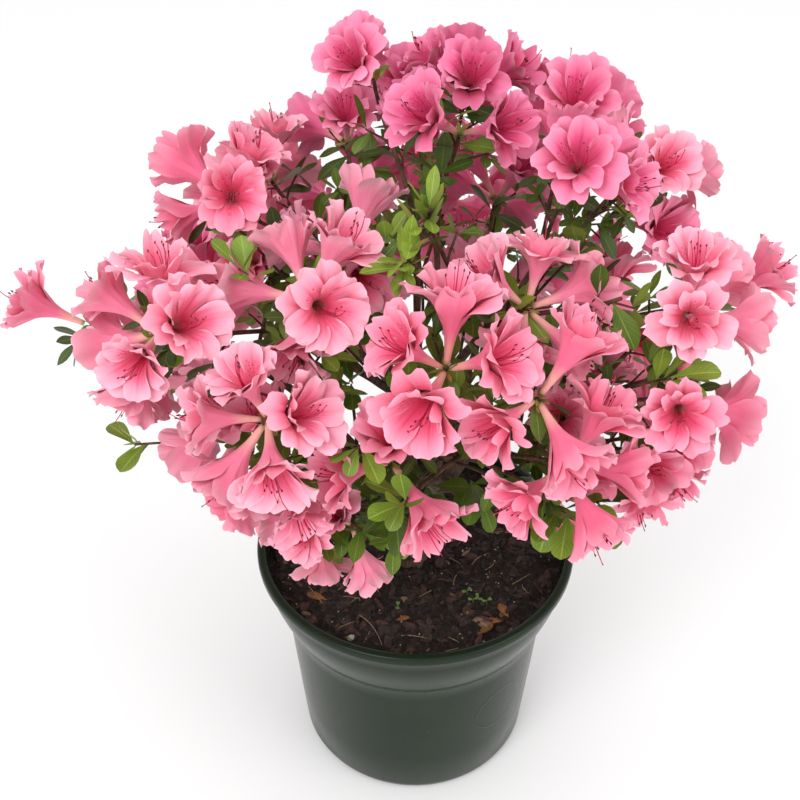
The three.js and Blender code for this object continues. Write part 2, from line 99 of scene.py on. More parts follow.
DEEP_SHOOTS = 3                      # one shoot in this many stands deeper in the crown
OUTER_DEPTH, INNER_DEPTH = (0.9, 1.04), (0.62, 0.8)  # shares of the crown's reach
TRUSS_DEPTH, LEAFY_DEPTH = 0.8, 0.9  # flower lengths from a shoot's tip to the outline
SHOOT_RISE = 0.22                    # how far shoots turn up from straight outwards
TRUSS_COUNTS = (3, 3, 4, 4, 5, 5)    # flowers on a shoot, drawn from these
TRUSS_SPREAD = (48, 76)              # degrees that a flower leans out from its shoot
CLEARED = 0.975                      # cosine: no other shoot this near to a placed one
FLOWER_LENGTH, FLOWER_RADIUS = 47.0, 23.0
FLOWER_SIZES = (0.84, 1.04)
LOBE_TURN = 1.26                     # radians: a flower turns by up to one lobe

# Trusses that stand out from the rest: compass angle, lift, reach of the shoot's tip, flowers.
STANDING_OUT = ((-172, 9, 196, 1), (118, 70, 160, 2), (-5, 13, 178, 1), (-150, 21, 172, 6),
                (-123, 14, 150, 5), (-26, 23, 172, 4), (-61, 6, 156, 4),
                (-84, 29, 138, 4), (-97, 3, 122, 3), (-35, 10, 172, 3),
                (-65, 21, 150, 3), (12, 36, 166, 3))
# Low trusses of smaller flowers that hang over the rim.
LOW_TRUSSES = ((-128, -41, 126, 3), (-114, -36, 120, 2), (-50, -17, 128, 2), (-16, -16, 158, 3))
LOW_SIZE = 0.82
# Leafy shoots with no flowers: compass angle and lift.
LEAFY = ((-85, 66), (-95, 54), (2, 42), (-60, -8), (-96, -12), (-36, 32), (-28, 10), (-122, 26))
NEW_GROWTH = 3  # the first of these leafy shoots are fresh yellow-green ones


def draws(seed):
    """Repeatable random draws."""
    state = (seed * 2654435761 + 1013904223) % 2**32

    def draw(low=0.0, high=1.0):
        nonlocal state
        state = (state * 1664525 + 1013904223) % 2**32
        return low + (high - low) * state / 2**32

    draw()
    draw()
    return draw


def one_of(options, draw):
    return options[int(draw(0, len(options)))]


def unit(vectors):
    return vectors / np.linalg.norm(vectors, axis=-1, keepdims=True)


def heading(compass, lift):
    """The direction with a compass angle and a lift above level, in degrees."""
    compass, lift = math.radians(compass), math.radians(lift)
    level = math.cos(lift)
    return np.array([level * math.cos(compass), level * math.sin(compass), math.sin(lift)])


def sides(axis):
    """Two directions square to an axis."""
    side = np.cross(axis, UP) if abs(axis[2]) < 0.95 else np.array([1.0, 0.0, 0.0])
    side = unit(side - axis * side.dot(axis))
    return side, np.cross(axis, side)


def tilted(axis, tilt, spin):
    """An axis leant over by tilt, towards the side that spin picks."""
    side, over = sides(axis)
    lean = side * math.cos(spin) + over * math.sin(spin)
    return axis * math.cos(tilt) + lean * math.sin(tilt)


mass_ways = {name: heading(compass, lift) for name, (compass, lift, _) in MASSES.items()}


def outline(way):
    """How far the crown reaches in a direction: a blend of the masses' reaches."""
    blend = 9
    weights = [math.exp(blend * (way.dot(mass_way) - 1)) for mass_way in mass_ways.values()]
    return np.average([reach for _, _, reach in MASSES.values()], weights=weights)


def new_shoot(kind, way, reach, count, size, draw):
    """One shoot: where its tip is, which way it points and the flowers of its truss."""
    axis = unit(way + SHOOT_RISE * UP)
    start = draw(0, 2 * math.pi)
    flowers = []
    for i in range(count):
        flower_size = size * draw(*FLOWER_SIZES)
        tilt = math.radians(draw(*TRUSS_SPREAD)) if count > 1 else 0.2
        spin = start + i * 2 * math.pi / count + draw(-0.25, 0.25)
        flowers.append(SimpleNamespace(way=tilted(axis, tilt, spin), size=flower_size,
                                       turn=draw(0, LOBE_TURN)))
    mass = max(mass_ways, key=lambda name: mass_ways[name].dot(way))
    return SimpleNamespace(kind=kind, mass=mass, way=way, tip=CROWN + way * reach, axis=axis,
                           flowers=flowers, draw=draw)


def all_shoots():
    """The shoots over the whole crown, on a spiral, then the ones that are placed one by one."""
    shoots = []
    golden = math.pi * (3 - math.sqrt(5))
    placed = [heading(*row[:2]) for row in STANDING_OUT + LEAFY]
    stray_lift, stray_compass = SHOOT_WANDER
    for i in range(SHOOTS):
        draw = draws(700 + i)
        lift = math.asin(1 - (i + 0.5) / SHOOTS * (1 - math.sin(LOWEST_LIFT)))
        lift += draw(-stray_lift, stray_lift)
        compass = i * golden + draw(-stray_compass, stray_compass) + SPIRAL_START
        way = heading(math.degrees(compass), math.degrees(lift))
        depth = draw(*(INNER_DEPTH if i % DEEP_SHOOTS == 1 else OUTER_DEPTH))
        reach = (outline(way) - TRUSS_DEPTH * FLOWER_LENGTH) * depth
        flowers = one_of(TRUSS_COUNTS, draw)
        if max(way.dot(other) for other in placed) <= CLEARED:
            shoots.append(new_shoot("spiral", way, reach, flowers, 1, draw))
    for kind, seed, size, trusses in (("standing out", 900, 1, STANDING_OUT),
                                      ("low", 950, LOW_SIZE, LOW_TRUSSES)):
        for i, (compass, lift, reach, flowers) in enumerate(trusses):
            way = heading(compass, lift)
            shoots.append(new_shoot(kind, way, reach, flowers, size, draws(seed + i)))
    for i, (compass, lift) in enumerate(LEAFY):
        way = heading(compass, lift)
        kind = "new growth" if i < NEW_GROWTH else "leafy"
        reach = outline(way) - LEAFY_DEPTH * FLOWER_LENGTH
        shoots.append(new_shoot(kind, way, reach, 0, 1, draws(980 + i)))
    return shoots


def make_room(shoots):
    """Flowers push their neighbours aside until their faces have room."""
    passes = 24
    face_height = 0.86   # of a flower's length
    closeness = 0.9      # of two flowers' radii
    firmness = 0.3       # share of an overlap that one pass takes away
    least_cosine = 0.14  # how far a flower may lean from its shoot
    flowers = [flower for shoot in shoots for flower in shoot.flowers]
    tips = np.array([shoot.tip for shoot in shoots for _ in shoot.flowers])
    axes = np.array([shoot.axis for shoot in shoots for _ in shoot.flowers])
    sizes = np.array([flower.size for flower in flowers])
    ways = np.array([flower.way for flower in flowers])
    need = FLOWER_RADIUS * closeness * (sizes[:, None] + sizes[None])
    for _ in range(passes):
        arms = ways * (FLOWER_LENGTH * face_height * sizes)[:, None]
        faces = tips + arms
        gaps = faces[:, None] - faces[None]
        far = np.maximum(np.linalg.norm(gaps, axis=2), 1e-6)
        push = np.where(far < need, (need - far) / far * firmness, 0)
        ways = unit(arms + (gaps * push[..., None]).sum(axis=1))
        short = np.maximum(least_cosine - (ways * axes).sum(axis=1), 0)
        ways = unit(ways + axes * short[:, None])
    for flower, way in zip(flowers, ways):
        flower.way = way


class Line:
    """A smooth line: it leaves its first point towards the second, and so on to the last."""

    def __init__(self, *points):
        self.points = np.array(points)

    def point(self, t):
        points = self.points
        while len(points) > 1:
            points = points[:-1] * (1 - t) + points[1:] * t
        return points[0]

    def tangent(self, t):
        return unit(Line(*np.diff(self.points, axis=0)).point(t))


def arched(root, leaving, tip, bend):
    """A line that leaves its root in one direction and bends round to its tip."""
    return Line(root, root + leaving * np.linalg.norm(tip - root) * bend, tip)


shoots = all_shoots()
make_room(shoots)

roots = {name: FORK + (CROWN + mass_ways[name] * reach * MASS_MIDDLE - FORK) * BOUGH_REACH
         for name, (_, _, reach) in MASSES.items()}
main_lines, bough_lines, stems = {}, {}, {}
for main, carried in MAIN_BOUGHS.items():
    end = FORK + (np.mean([roots[name] for name in carried], axis=0) - FORK) * MAIN_REACH
    outwards = unit((end - FORK) * [1, 1, 0])
    foot = FORK + outwards * TRUNK_TOP * MAIN_ROOTS
    main_lines[main] = arched(foot, unit(UP + outwards), end, 0.5)
    for name in carried:
        bough_lines[name] = arched(end, main_lines[main].tangent(1), roots[name], 0.35)

# A mass's stem runs part of the way to the middle of its shoots, and their twigs leave it.
for name, bough in bough_lines.items():
    own = [shoot for shoot in shoots if shoot.mass == name]
    middle = np.mean([shoot.tip for shoot in own], axis=0)
    stem_tip = roots[name] + (middle - roots[name]) * STEM_REACH
    stems[name] = arched(roots[name], bough.tangent(1), stem_tip, 0.4)
    for i, shoot in enumerate(own):
        along = FIRST_TWIG + (1 - FIRST_TWIG) * (i + 1) / len(own)
        root, leaving = stems[name].point(along), stems[name].tangent(along)
        stretch = np.linalg.norm(shoot.tip - root)
        shoot.twig = Line(root, root + leaving * stretch * 0.35,
                          shoot.tip - shoot.axis * stretch * 0.3, shoot.tip)

# ---- Pot ------------------------------------------------------------------------------------
# A squat nursery pot, injection moulded in thin dark green polypropylene: a narrow rolled lip, a
# band that tapers in under it to a small step, and a plain body with a rounded foot.

POT_OUTSIDE = ((0, 1.2), (70, 1.2), (72, 0), (76.5, 0), (79.5, 2.5), (81.5, 7), (84.2, 40),
               (87.2, 78), (89.6, 110), (90.6, 121), (91.4, 122.4), (92.6, 123), (94.8, 129),
               (98.5, 138), (101.5, 147), (103.2, 156), (103.8, 165.5), (104.4, 166),
               (107, 166), (107.8, 166.6), (108, 168), (108, 171), (107.4, 172.6), (106.3, 173))
POT_INSIDE = ((103, 173), (102.3, 172.4), (102, 171), (101.4, 160), (100.6, 155), (96.4, 139),
              (88.4, 121), (78.6, 2.2), (0, 2.2))
POT_SIDES = 144
WHOLE_PLANT = "root"  # the one body, which every piece rides on
# A mould insert left a faint ring on the right front; these are in metres, as a shader has them.
MOULDED_RING = Vector((0.0567, -0.0647, 0.0745))
RING_RADIUS = 0.0195


class Pile:
    """Points and faces of like things, joined into one piece."""

    def __init__(self):
        self.points, self.faces, self.places, self.count = [], [], [], 0

    def add(self, points, faces, places=None):
        """Adds a shape; places are its points' positions on the surface map, if it has one."""
        self.points.append(points)
        if isinstance(faces, np.ndarray):
            self.faces += (faces + self.count).tolist()
        else:
            self.faces += [[corner + self.count for corner in face] for face in faces]
        self.count += len(points)
        if places is not None:
            self.places.append(places)

    def piece(self, name, material, slot, stands_for=(), smooth=True):
        """The finished object: it rides with the plant and takes the place of CAD nodes."""
        mesh = bpy.data.meshes.new(name)
        mesh.from_pydata((np.concatenate(self.points) * 0.001).tolist(), [], self.faces)
        if self.places:
            corners = np.zeros(len(mesh.loops), dtype=np.int32)
            mesh.loops.foreach_get("vertex_index", corners)
            surface_map = mesh.uv_layers.new(name="OFBake")
            surface_map.data.foreach_set("uv", np.concatenate(self.places)[corners].ravel())
        mesh.polygons.foreach_set("use_smooth", [smooth] * len(mesh.polygons))
        mesh.materials.append(material)
        piece = bpy.data.objects.new(name, mesh)
        bpy.context.scene.collection.objects.link(piece)
        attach(piece, WHOLE_PLANT)
        if stands_for:
            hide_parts(*stands_for)
        return piece


def grid_faces(rows, columns, closed=False):
    """Four-sided faces between rows of points, which run on round the piece if closed."""
    across = np.arange(columns if closed else columns - 1)
    following = (across + 1) % columns
    lower = np.arange(rows - 1)[:, None] * columns
    return np.stack([lower + across, lower + following, lower + columns + following,
                     lower + columns + across], axis=-1).reshape(-1, 4)


def turned(profile, sides_round):
    """A profile of (radius, height) turned round the upright axis."""
    angles = np.linspace(0, 2 * math.pi, sides_round, endpoint=False)
    profile = np.array(profile, dtype=float)
    rings = np.stack([profile[:, :1] * np.cos(angles), profile[:, :1] * np.sin(angles),
                      np.repeat(profile[:, 1:], sides_round, axis=1)], axis=-1)
    return rings.reshape(-1, 3), grid_faces(len(profile), sides_round, closed=True)


class Nodes:
    """Short ways to add shader nodes. What they take are other nodes' outputs or plain values."""

    def __init__(self, tree):
        self.tree = tree

    def node(self, kind, inputs=None, **settings):
        node = self.tree.nodes.new(kind)
        for key, value in settings.items():
            setattr(node, key, value)
        for socket, value in (inputs or {}).items():
            if isinstance(value, bpy.types.NodeSocket):
                self.tree.links.new(value, node.inputs[socket])
            else:
                node.inputs[socket].default_value = value
        return node

    def math(self, operation, *values):
        return self.node("ShaderNodeMath", dict(enumerate(values)), operation=operation).outputs["Value"]

    def mapped(self, value, low, high, at_low, at_high):
        """Carries a value from low..high over to at_low..at_high, and no further."""
        return self.node("ShaderNodeMapRange", {
            "Value": value, "From Min": low, "From Max": high, "To Min": at_low,
            "To Max": at_high}).outputs["Result"]

    def mixed(self, share, *colours):
        """Blends two colours; a plain one is (red, green, blue)."""
        first, second = (colour if isinstance(colour, bpy.types.NodeSocket) else (*colour, 1)
                         for colour in colours)
        return self.node("ShaderNodeMix", {0: share, 6: first, 7: second},
                         data_type="RGBA").outputs[2]

    def ramp(self, factor, stops):
        """A colour ramp: stops are (position, (red, green, blue)) or (position, grey)."""
        node = self.node("ShaderNodeValToRGB", {"Fac": factor})
        while len(node.color_ramp.elements) < len(stops):
            node.color_ramp.elements.new(0.5)
        for element, (position, colour) in zip(node.color_ramp.elements, stops):
            element.position = position
            element.color = (*(colour if isinstance(colour, tuple) else (colour,) * 3), 1)
        return node.outputs["Color"]

    def place(self):
        return self.node("ShaderNodeTexCoord").outputs["Object"]

    def stretched(self, place, scale):
        return self.node("ShaderNodeMapping", {"Vector": place, "Scale": scale}).outputs["Vector"]

    def noise(self, place, scale, detail, roughness=0.5, **settings):
        return self.node("ShaderNodeTexNoise", {
            "Vector": place, "Scale": scale, "Detail": detail, "Roughness": roughness},
            **settings).outputs["Fac"]


class Shading(Nodes):
    """A material, with the values that its Principled shader has all over."""

    def __init__(self, name, constants):
        self.material = bpy.data.materials.new(name)
        self.material.use_nodes = True
        super().__init__(self.material.node_tree)
        self.shader = self.tree.nodes["Principled BSDF"]
        for socket, value in constants.items():
            self.shader.inputs[socket].default_value = value

    def feed(self, socket, output):
        self.tree.links.new(output, self.shader.inputs[socket])

    def relief(self, height, strength, distance, sunk=False):
        """Raises the surface by a height, or sinks it."""
        bump = self.node("ShaderNodeBump", {
            "Height": height, "Strength": strength, "Distance": distance}, invert=sunk)
        self.feed("Normal", bump.outputs["Normal"])

    def behind(self):
        """1 on the side of a leaf or petal that faces away."""
        return self.node("ShaderNodeNewGeometry").outputs["Backfacing"]


def pot_plastic():
    """Dark green plastic with fine upright scuffs and the moulded ring."""
    shading = Shading("pot_plastic", {"Specular IOR Level": 0.17})
    place = shading.place()
    green = shading.ramp(shading.noise(place, 14.0, 5.0), (
        (0.3, (0.009, 0.017, 0.009)), (0.7, (0.014, 0.025, 0.013))))
    from_middle = shading.node("ShaderNodeVectorMath", {0: place, 1: MOULDED_RING},
                               operation="DISTANCE").outputs["Value"]
    beside_ring = shading.math("ABSOLUTE", shading.math("SUBTRACT", from_middle, RING_RADIUS))
    ring = shading.mapped(beside_ring, 0.0002, 0.0009, 0.5, 0.0)
    shading.feed("Base Color", shading.mixed(ring, green, (0.003, 0.005, 0.003)))
    scuffs = shading.noise(shading.stretched(place, (1.0, 1.0, 0.08)), 240.0, 6.0, 0.7)
    shading.feed("Roughness", shading.ramp(scuffs, ((0.35, 0.2), (0.62, 0.25), (0.78, 0.34))))
    shading.relief(shading.math("MULTIPLY_ADD", scuffs, 0.02, ring), 0.5, 0.0005)
    return shading.material


pot = Pile()
pot.add(*turned(POT_OUTSIDE + POT_INSIDE, POT_SIDES))
pot.piece("moulded_pot", pot_plastic(), "pot_plastic", ["pot"])

# ---- Potting mix ----------------------------------------------------------------------------
# Composted bark and peat, damp and nearly black, in crumbs and lumps. It fills the pot to a
# finger's breadth under the lip and is a little higher at the trunk.

SOIL_EDGE, SOIL_TOP = 154.0, 156.5  # heights at the wall and at the trunk
SOIL_RADIUS = 100.2
SOIL_UNDERSIDE = ((0, 2.7), (78, 2.7), (88, 121), (96, 139), (SOIL_RADIUS, SOIL_EDGE - 3))
SOIL_RINGS, SOIL_SIDES, UNDERSIDE_SIDES = 90, 240, 48
LUMPS = ((16, 2.6), (5.5, 2.0), (2.4, 1.2))  # how wide and how high


def soil_height(x, y):
    """Height of the mix's surface, with its lumps."""
    rise = np.clip(1 - (math.hypot(x, y) - 20) / 75, 0, 1) * (SOIL_TOP - SOIL_EDGE)
    spot = Vector((x, y, 0))
    lumps = sum(noise.noise(spot / width) * height for width, height in LUMPS)
    return SOIL_EDGE + rise + lumps * min(1, (SOIL_RADIUS + 4 - math.hypot(x, y)) / 12)


def potting_mix():
    """Dark crumbs, with paler shreds among them."""
    shading = Shading("potting_mix", {"Roughness": 0.9, "Specular IOR Level": 0.35})
    place = shading.place()
    crumbs = shading.node("ShaderNodeTexVoronoi", {"Vector": place, "Scale": 420.0})
    peat = shading.noise(place, 260.0, 8.0, 0.75)
    shading.feed("Base Color", shading.ramp(peat, (
        (0.34, (0.005, 0.004, 0.003)), (0.52, (0.018, 0.011, 0.008)), (0.64, (0.04, 0.022, 0.016)),
        (0.76, (0.08, 0.048, 0.034)))))
    shading.relief(shading.math("ADD", peat, crumbs.outputs["Distance"]), 0.9, 0.0018)
    return shading.material


soil_points = []
for radius in SOIL_RADIUS * np.linspace(0.0, 1.0, SOIL_RINGS):
    for angle in np.linspace(0, 2 * math.pi, SOIL_SIDES, endpoint=False):
        x, y = radius * math.cos(angle), radius * math.sin(angle)
        soil_points.append((x, y, soil_height(x, y)))
fill = Pile()
fill.add(np.array(soil_points), grid_faces(SOIL_RINGS, SOIL_SIDES, closed=True))
under_points, under_faces = turned(SOIL_UNDERSIDE, UNDERSIDE_SIDES)
fill.add(under_points, under_faces[:, ::-1])
fill.piece("mix_surface", potting_mix(), "potting_mix", ["potting_mix"])

# ---- Bark chips and straw on the mix --------------------------------------------------------
# Loose flakes and shreds of composted bark, a few pale grains and grit, dry straw and root
# fibres. They lie on the mix or stick a little way into it.

CHIP_COUNT = 1500
GRAIN_COUNT = 110
STRAW_COUNT = 26
PEBBLE = (-42, -75)
# Strands that show best: from (x, y) to (x, y). Strips of bark: x, y, length and turn.
FIBRES = ((-38, -54, -22, -81), (-10, -72, 10, -77), (-30, -60, -34, -78), (38, -12, 52, 2),
          (60, -30, 78, -18), (-60, -48, -72, -30), (16, -84, 34, -80), (-52, -66, -40, -60))
BARK_STRIPS = ((23, -42, 17, 0.4), (40, -77, 15, 1.2), (30, -60, 14, -0.5), (34, -48, 12, 0.9),
               (12, -66, 13, 0.1), (-24, -46, 12, 2.2), (56, -66, 12, 2.6))


def loose_flake(length, width, thickness, draw):
    """A rough flake: two rings of points round its edge, and its faces."""
    corners = 7
    angles = np.linspace(0, 2 * math.pi, corners, endpoint=False)
    rough = np.array([draw(0.72, 1.15) for _ in angles])
    edge = np.stack([np.cos(angles) * rough * length / 2, np.sin(angles) * rough * width / 2], -1)
    lift = np.array([draw(-0.3, 0.3) for _ in angles]) * thickness
    top = np.column_stack([edge * 0.86, lift + thickness / 2])
    bottom = np.column_stack([edge, lift - thickness / 2])
    points = np.concatenate([bottom, top, [[0, 0, thickness * 0.7]]])
    faces = []
    for i in range(corners):
        following = (i + 1) % corners
        faces.append((i, following, corners + following, corners + i))
        faces.append((corners + i, corners + following, 2 * corners))
    return points, faces


def axes_along(way, turn=0.0):
    """Three axes square to each other: the last is way, and the others are turned round it."""
    side, over = sides(way)
    first = side * math.cos(turn) + over * math.sin(turn)
    return np.array([first, np.cross(way, first), way])


def laid(points, x, y, turn, lean, lean_turn, sunk=0.3):
    """Points turned and leant, then laid on the mix at (x, y)."""
    axes = axes_along(tilted(UP, lean, lean_turn), turn)
    return points @ axes + [x, y, soil_height(x, y) - sunk]


def grained_material(name, dark, light, scale=300.0, roughness=0.75):
    """Fibrous stuff, dark in its cracks."""
    shading = Shading(name, {"Roughness": roughness, "Specular IOR Level": 0.35})
    grain = shading.noise(shading.place(), scale, 6.0, 0.7)
    shading.feed("Base Color", shading.ramp(grain, ((0.36, dark), (0.66, light))))
    shading.relief(grain, 0.6, 0.0006)
    return shading.material


def on_mix(draw, largest=96.0):
    """A random place on the mix, clear of the trunk."""
    radius = math.sqrt(draw(0.03, 1)) * largest
    angle = draw(0, 2 * math.pi)
    return radius * math.cos(angle), radius * math.sin(angle)


bark_colours = {
    "dark": ((0.008, 0.005, 0.004), (0.055, 0.033, 0.027)),
    "red": ((0.022, 0.010, 0.008), (0.1, 0.046, 0.034)),
    "tan": ((0.08, 0.045, 0.028), (0.26, 0.16, 0.1)),
}
chips = {kind: Pile() for kind in bark_colours}
draw = draws(31)
for _ in range(CHIP_COUNT):
    pick = draw()
    kind = "tan" if pick > 0.975 else "red" if pick > 0.8 else "dark"
    length = draw(1.6, 5) if draw() < 0.45 else draw(5, 15)
    points, faces = loose_flake(length, length * draw(0.22, 0.6), draw(0.6, 1.8), draw)
    x, y = on_mix(draw)
    lean = draw(0, 0.9 if length < 8 else 0.4)
    chips[kind].add(laid(points, x, y, draw(0, 2 * math.pi), lean, draw(0, 2 * math.pi)), faces)
for x, y, length, turn in BARK_STRIPS:
    points, faces = loose_flake(length, length * 0.3, 2.0, draw)
    chips["red"].add(laid(points, x, y, turn, draw(0.05, 0.3), draw(0, 6)), faces)
for kind, colours in bark_colours.items():
    chips[kind].piece(f"{kind}_bark_chips", grained_material(f"{kind}_bark_chip", *colours),
                      "potting_mix", smooth=False)

pale_grit = grained_material("pale_grit", (0.22, 0.2, 0.15), (0.5, 0.48, 0.4), scale=900.0)
grit = Pile()
for _ in range(GRAIN_COUNT):
    points, faces = loose_flake(draw(0.7, 1.7), draw(0.7, 1.5), draw(0.6, 1.2), draw)
    x, y = on_mix(draw)
    grit.add(laid(points, x, y, 0, draw(0, 0.5), 0, sunk=0), faces)
points, faces = loose_flake(5.2, 4.4, 3.0, draw)
grit.add(laid(points, *PEBBLE, 0.4, 0.1, 0, sunk=0), faces)
grit.piece("grit", pale_grit, "potting_mix", smooth=False)


def tube(line, radius_at, sides_round, rings, relief=None):
    """Rings of points round a line, closed at its tip, and their faces."""
    side = sides(line.tangent(0))[0]
    points = []
    for share in np.linspace(0, 1, rings):
        along = line.tangent(share)
        side = unit(side - along * side.dot(along))
        over = np.cross(along, side)
        for k in range(sides_round):
            angle = 2 * math.pi * k / sides_round
            radius = radius_at(share) + (relief(angle, share) if relief else 0)
            out = side * math.cos(angle) + over * math.sin(angle)
            points.append(line.point(share) + out * radius)
    faces = grid_faces(rings, sides_round, closed=True).tolist()
    first = (rings - 1) * sides_round
    faces.append([first + k for k in range(sides_round)])
    return np.array(points), faces


straw = grained_material("dry_straw", (0.16, 0.1, 0.05), (0.36, 0.26, 0.15), scale=500.0)
fibres = Pile()
straws = list(FIBRES)
for _ in range(STRAW_COUNT):
    x, y = on_mix(draw, 88)
    turn, length = draw(0, 2 * math.pi), draw(6, 20)
    straws.append((x, y, x + length * math.cos(turn), y + length * math.sin(turn)))
for x, y, far_x, far_y in straws:
    middle_x, middle_y = (x + far_x) / 2 + draw(-4, 4), (y + far_y) / 2 + draw(-4, 4)
    run = Line(*([px, py, soil_height(px, py) + height] for px, py, height in (
        (x, y, -0.6), (middle_x, middle_y, draw(1.5, 4)), (far_x, far_y, 0.2))))
    fibres.add(*tube(run, lambda share: 0.42 - 0.2 * share, 4, 10))
fibres.piece("straw_and_roots", straw, "potting_mix")

# ---- Trunk and boughs -----------------------------------------------------------------------
# A short woody stem, flared where it stands in the mix, forks low into five boughs and these
# into one for each mass. The bark is thin, grey-brown and finely furrowed along its length.

TRUNK_LEG = np.array([-4.0, -2.0, 151.0])  # the trunk's foot, a little way in the mix
TRUNK_FOOT, TRUNK_WAIST = 13.0, 9.5  # its radii at the foot, and above the flare
MAIN_RADII = (5.4, 3.8)
BOUGH_RADII = (3.3, 2.5)
FURROWS, FLAKES, SWELLINGS = 0.09, 0.05, 0.12  # how high, as shares of a limb's radius


def furrowed(thickness, length, seed):
    """The bark's relief: furrows that run along the limb, and slow swellings."""
    def relief(angle, share):
        x, y, z = 2.2 * math.cos(angle), 2.2 * math.sin(angle), share * length
        furrow = noise.noise(Vector((x * 2.6, y * 2.6, z / 14 + seed)))
        flake = noise.noise(Vector((x * 5.5, y * 5.5, z / 4 + seed)))
        swelling = noise.noise(Vector((x * 0.5, y * 0.5, z / 18 - seed)))
        return thickness * (furrow * FURROWS + flake * FLAKES + swelling * SWELLINGS)
    return relief


def tapered(thick, thin):
    return lambda share: thick + (thin - thick) * share


def bark_material(name, dark, light):
    """Fibrous bark, drawn out along its limbs, with paler patches."""
    shading = Shading(name, {"Roughness": 0.82, "Specular IOR Level": 0.3})
    place = shading.place()
    fibre = shading.noise(shading.stretched(place, (1.0, 1.0, 0.22)), 900.0, 6.0, 0.65)
    patches = shading.noise(place, 90.0, 3.0)
    palest = tuple(value * 1.5 for value in light)
    shading.feed("Base Color", shading.ramp(shading.math("MULTIPLY", fibre, patches), (
        (0.14, dark), (0.3, light), (0.46, palest))))
    shading.relief(fibre, 0.55, 0.0005)
    return shading.material


limbs = Pile()
rise = FORK - TRUNK_LEG
trunk_line = Line(TRUNK_LEG, TRUNK_LEG + rise * 0.35 + [1.2, -1.6, 0],
                  TRUNK_LEG + rise * 0.7 + [2.2, 1.2, 0], FORK + [0, 0, 3])


def flared(share):
    """The trunk's radius: it flares towards its foot."""
    return (TRUNK_WAIST + (TRUNK_TOP - TRUNK_WAIST) * share
            + (TRUNK_FOOT - TRUNK_WAIST) * (1 - share) ** 4)


limbs.add(*tube(trunk_line, flared, 56, 70, furrowed(TRUNK_WAIST, 48, 1)))
for seed, line in enumerate(main_lines.values(), 2):
    limbs.add(*tube(line, tapered(*MAIN_RADII), 28, 50, furrowed(MAIN_RADII[0], 60, seed * 7)))
for seed, line in enumerate(bough_lines.values(), 9):
    limbs.add(*tube(line, tapered(*BOUGH_RADII), 20, 50, furrowed(BOUGH_RADII[0], 60, seed * 7)))
limb_nodes = ["trunk", *MAIN_BOUGHS, *(f"bough_{name}" for name in MASSES)]
old_bark = bark_material("old_bark", (0.035, 0.02, 0.014), (0.12, 0.075, 0.052))
limbs.piece("trunk_and_boughs", old_bark, "bark", limb_nodes)

# ---- Twigs ----------------------------------------------------------------------------------
# Each mass has one stem, and each shoot a twig that curves up to its truss or tuft. Shorter
# side twigs carry the leaves inside the crown. Young wood is thin, red-brown and a little hairy.

STEM_RADII, TWIG_RADII = (2.3, 1.9), (1.55, 1.1)
SIDE_TWIG_RADII, SPRIG_RADII = (0.85, 0.6), (1.2, 0.8)
SIDE_TWIGS = (0.4, 0.58, 0.74, 0.88)  # where they leave the twig, as shares of its length
SIDE_TWIG_LEAN = (38, 66)             # degrees from the twig
SIDE_TWIG_LENGTH = (12, 24)
SUNLIT = 149  # sprouts that reach further than this have the brighter leaves: painted light on the crown's outside
# Leafy sprouts from the boughs: compass angle, lift and reach of the tip, and leaf size.
SPROUTS = ((-99, -37, 112, 1.0), (-83, -34, 101, 0.95), (-63, -37, 103, 1.0), (-44, -27, 134, 1.3),
           (-34, -27, 148, 1.25), (-116, -25, 92, 0.9), (-168, -16, 186, 1.0), (-9, -3, 164, 1.0),
           (-163, 13, 146, 0.9), (-139, 1, 112, 0.95), (-113, 39, 66, 0.9), (-58, 46, 84, 0.9),
           (-167, 42, 138, 0.85), (-22, 42, 126, 0.95), (-75, 10, 92, 0.9), (-110, 62, 112, 0.8),
           (-150, 30, 84, 1.0), (-30, 14, 88, 1.0), (-95, 30, 84, 0.95), (-58, 22, 76, 1.0),
           (-128, 8, 74, 1.0), (160, 20, 96, 1.0), (20, 24, 96, 1.0), (90, 30, 90, 1.0),
           (60, 10, 104, 1.0), (125, 8, 104, 1.0), (-45, -8, 100, 1.0), (-140, -14, 96, 0.95),
           (-149, 20, 162, 1.0), (-39, 17, 176, 1.1), (-93, 1, 152, 1.0), (-127, 19, 154, 0.95),
           (-103, 13, 150, 0.9), (-60, -6, 160, 1.1), (-18, 49, 174, 1.0), (-144, 39, 151, 0.9))

twigs = Pile()
tufts, sprouts = [], []  # where side twigs and sprigs end, for the leaves
for stem in stems.values():
    twigs.add(*tube(stem, tapered(*STEM_RADII), 7, 12))
for number, shoot in enumerate(shoots):
    twigs.add(*tube(shoot.twig, tapered(*TWIG_RADII), 6, 14))
    draw = draws(2000 + number)
    spin = draw(0, 2 * math.pi)
    for share in SIDE_TWIGS:
        spin += draw(1.8, 3.0)
        root, leaving = shoot.twig.point(share), shoot.twig.tangent(share)
        way = tilted(leaving, math.radians(draw(*SIDE_TWIG_LEAN)), spin)
        tip = root + way * draw(*SIDE_TWIG_LENGTH) + UP * draw(0, 4)
        side_twig = Line(root, root + leaving * 5, tip - way * 5, tip)
        twigs.add(*tube(side_twig, tapered(*SIDE_TWIG_RADII), 4, 7))
        tufts.append(SimpleNamespace(tip=tip, axis=side_twig.tangent(1), size=draw(0.55, 0.85),
                                     kind=shoot.kind, draw=draw))
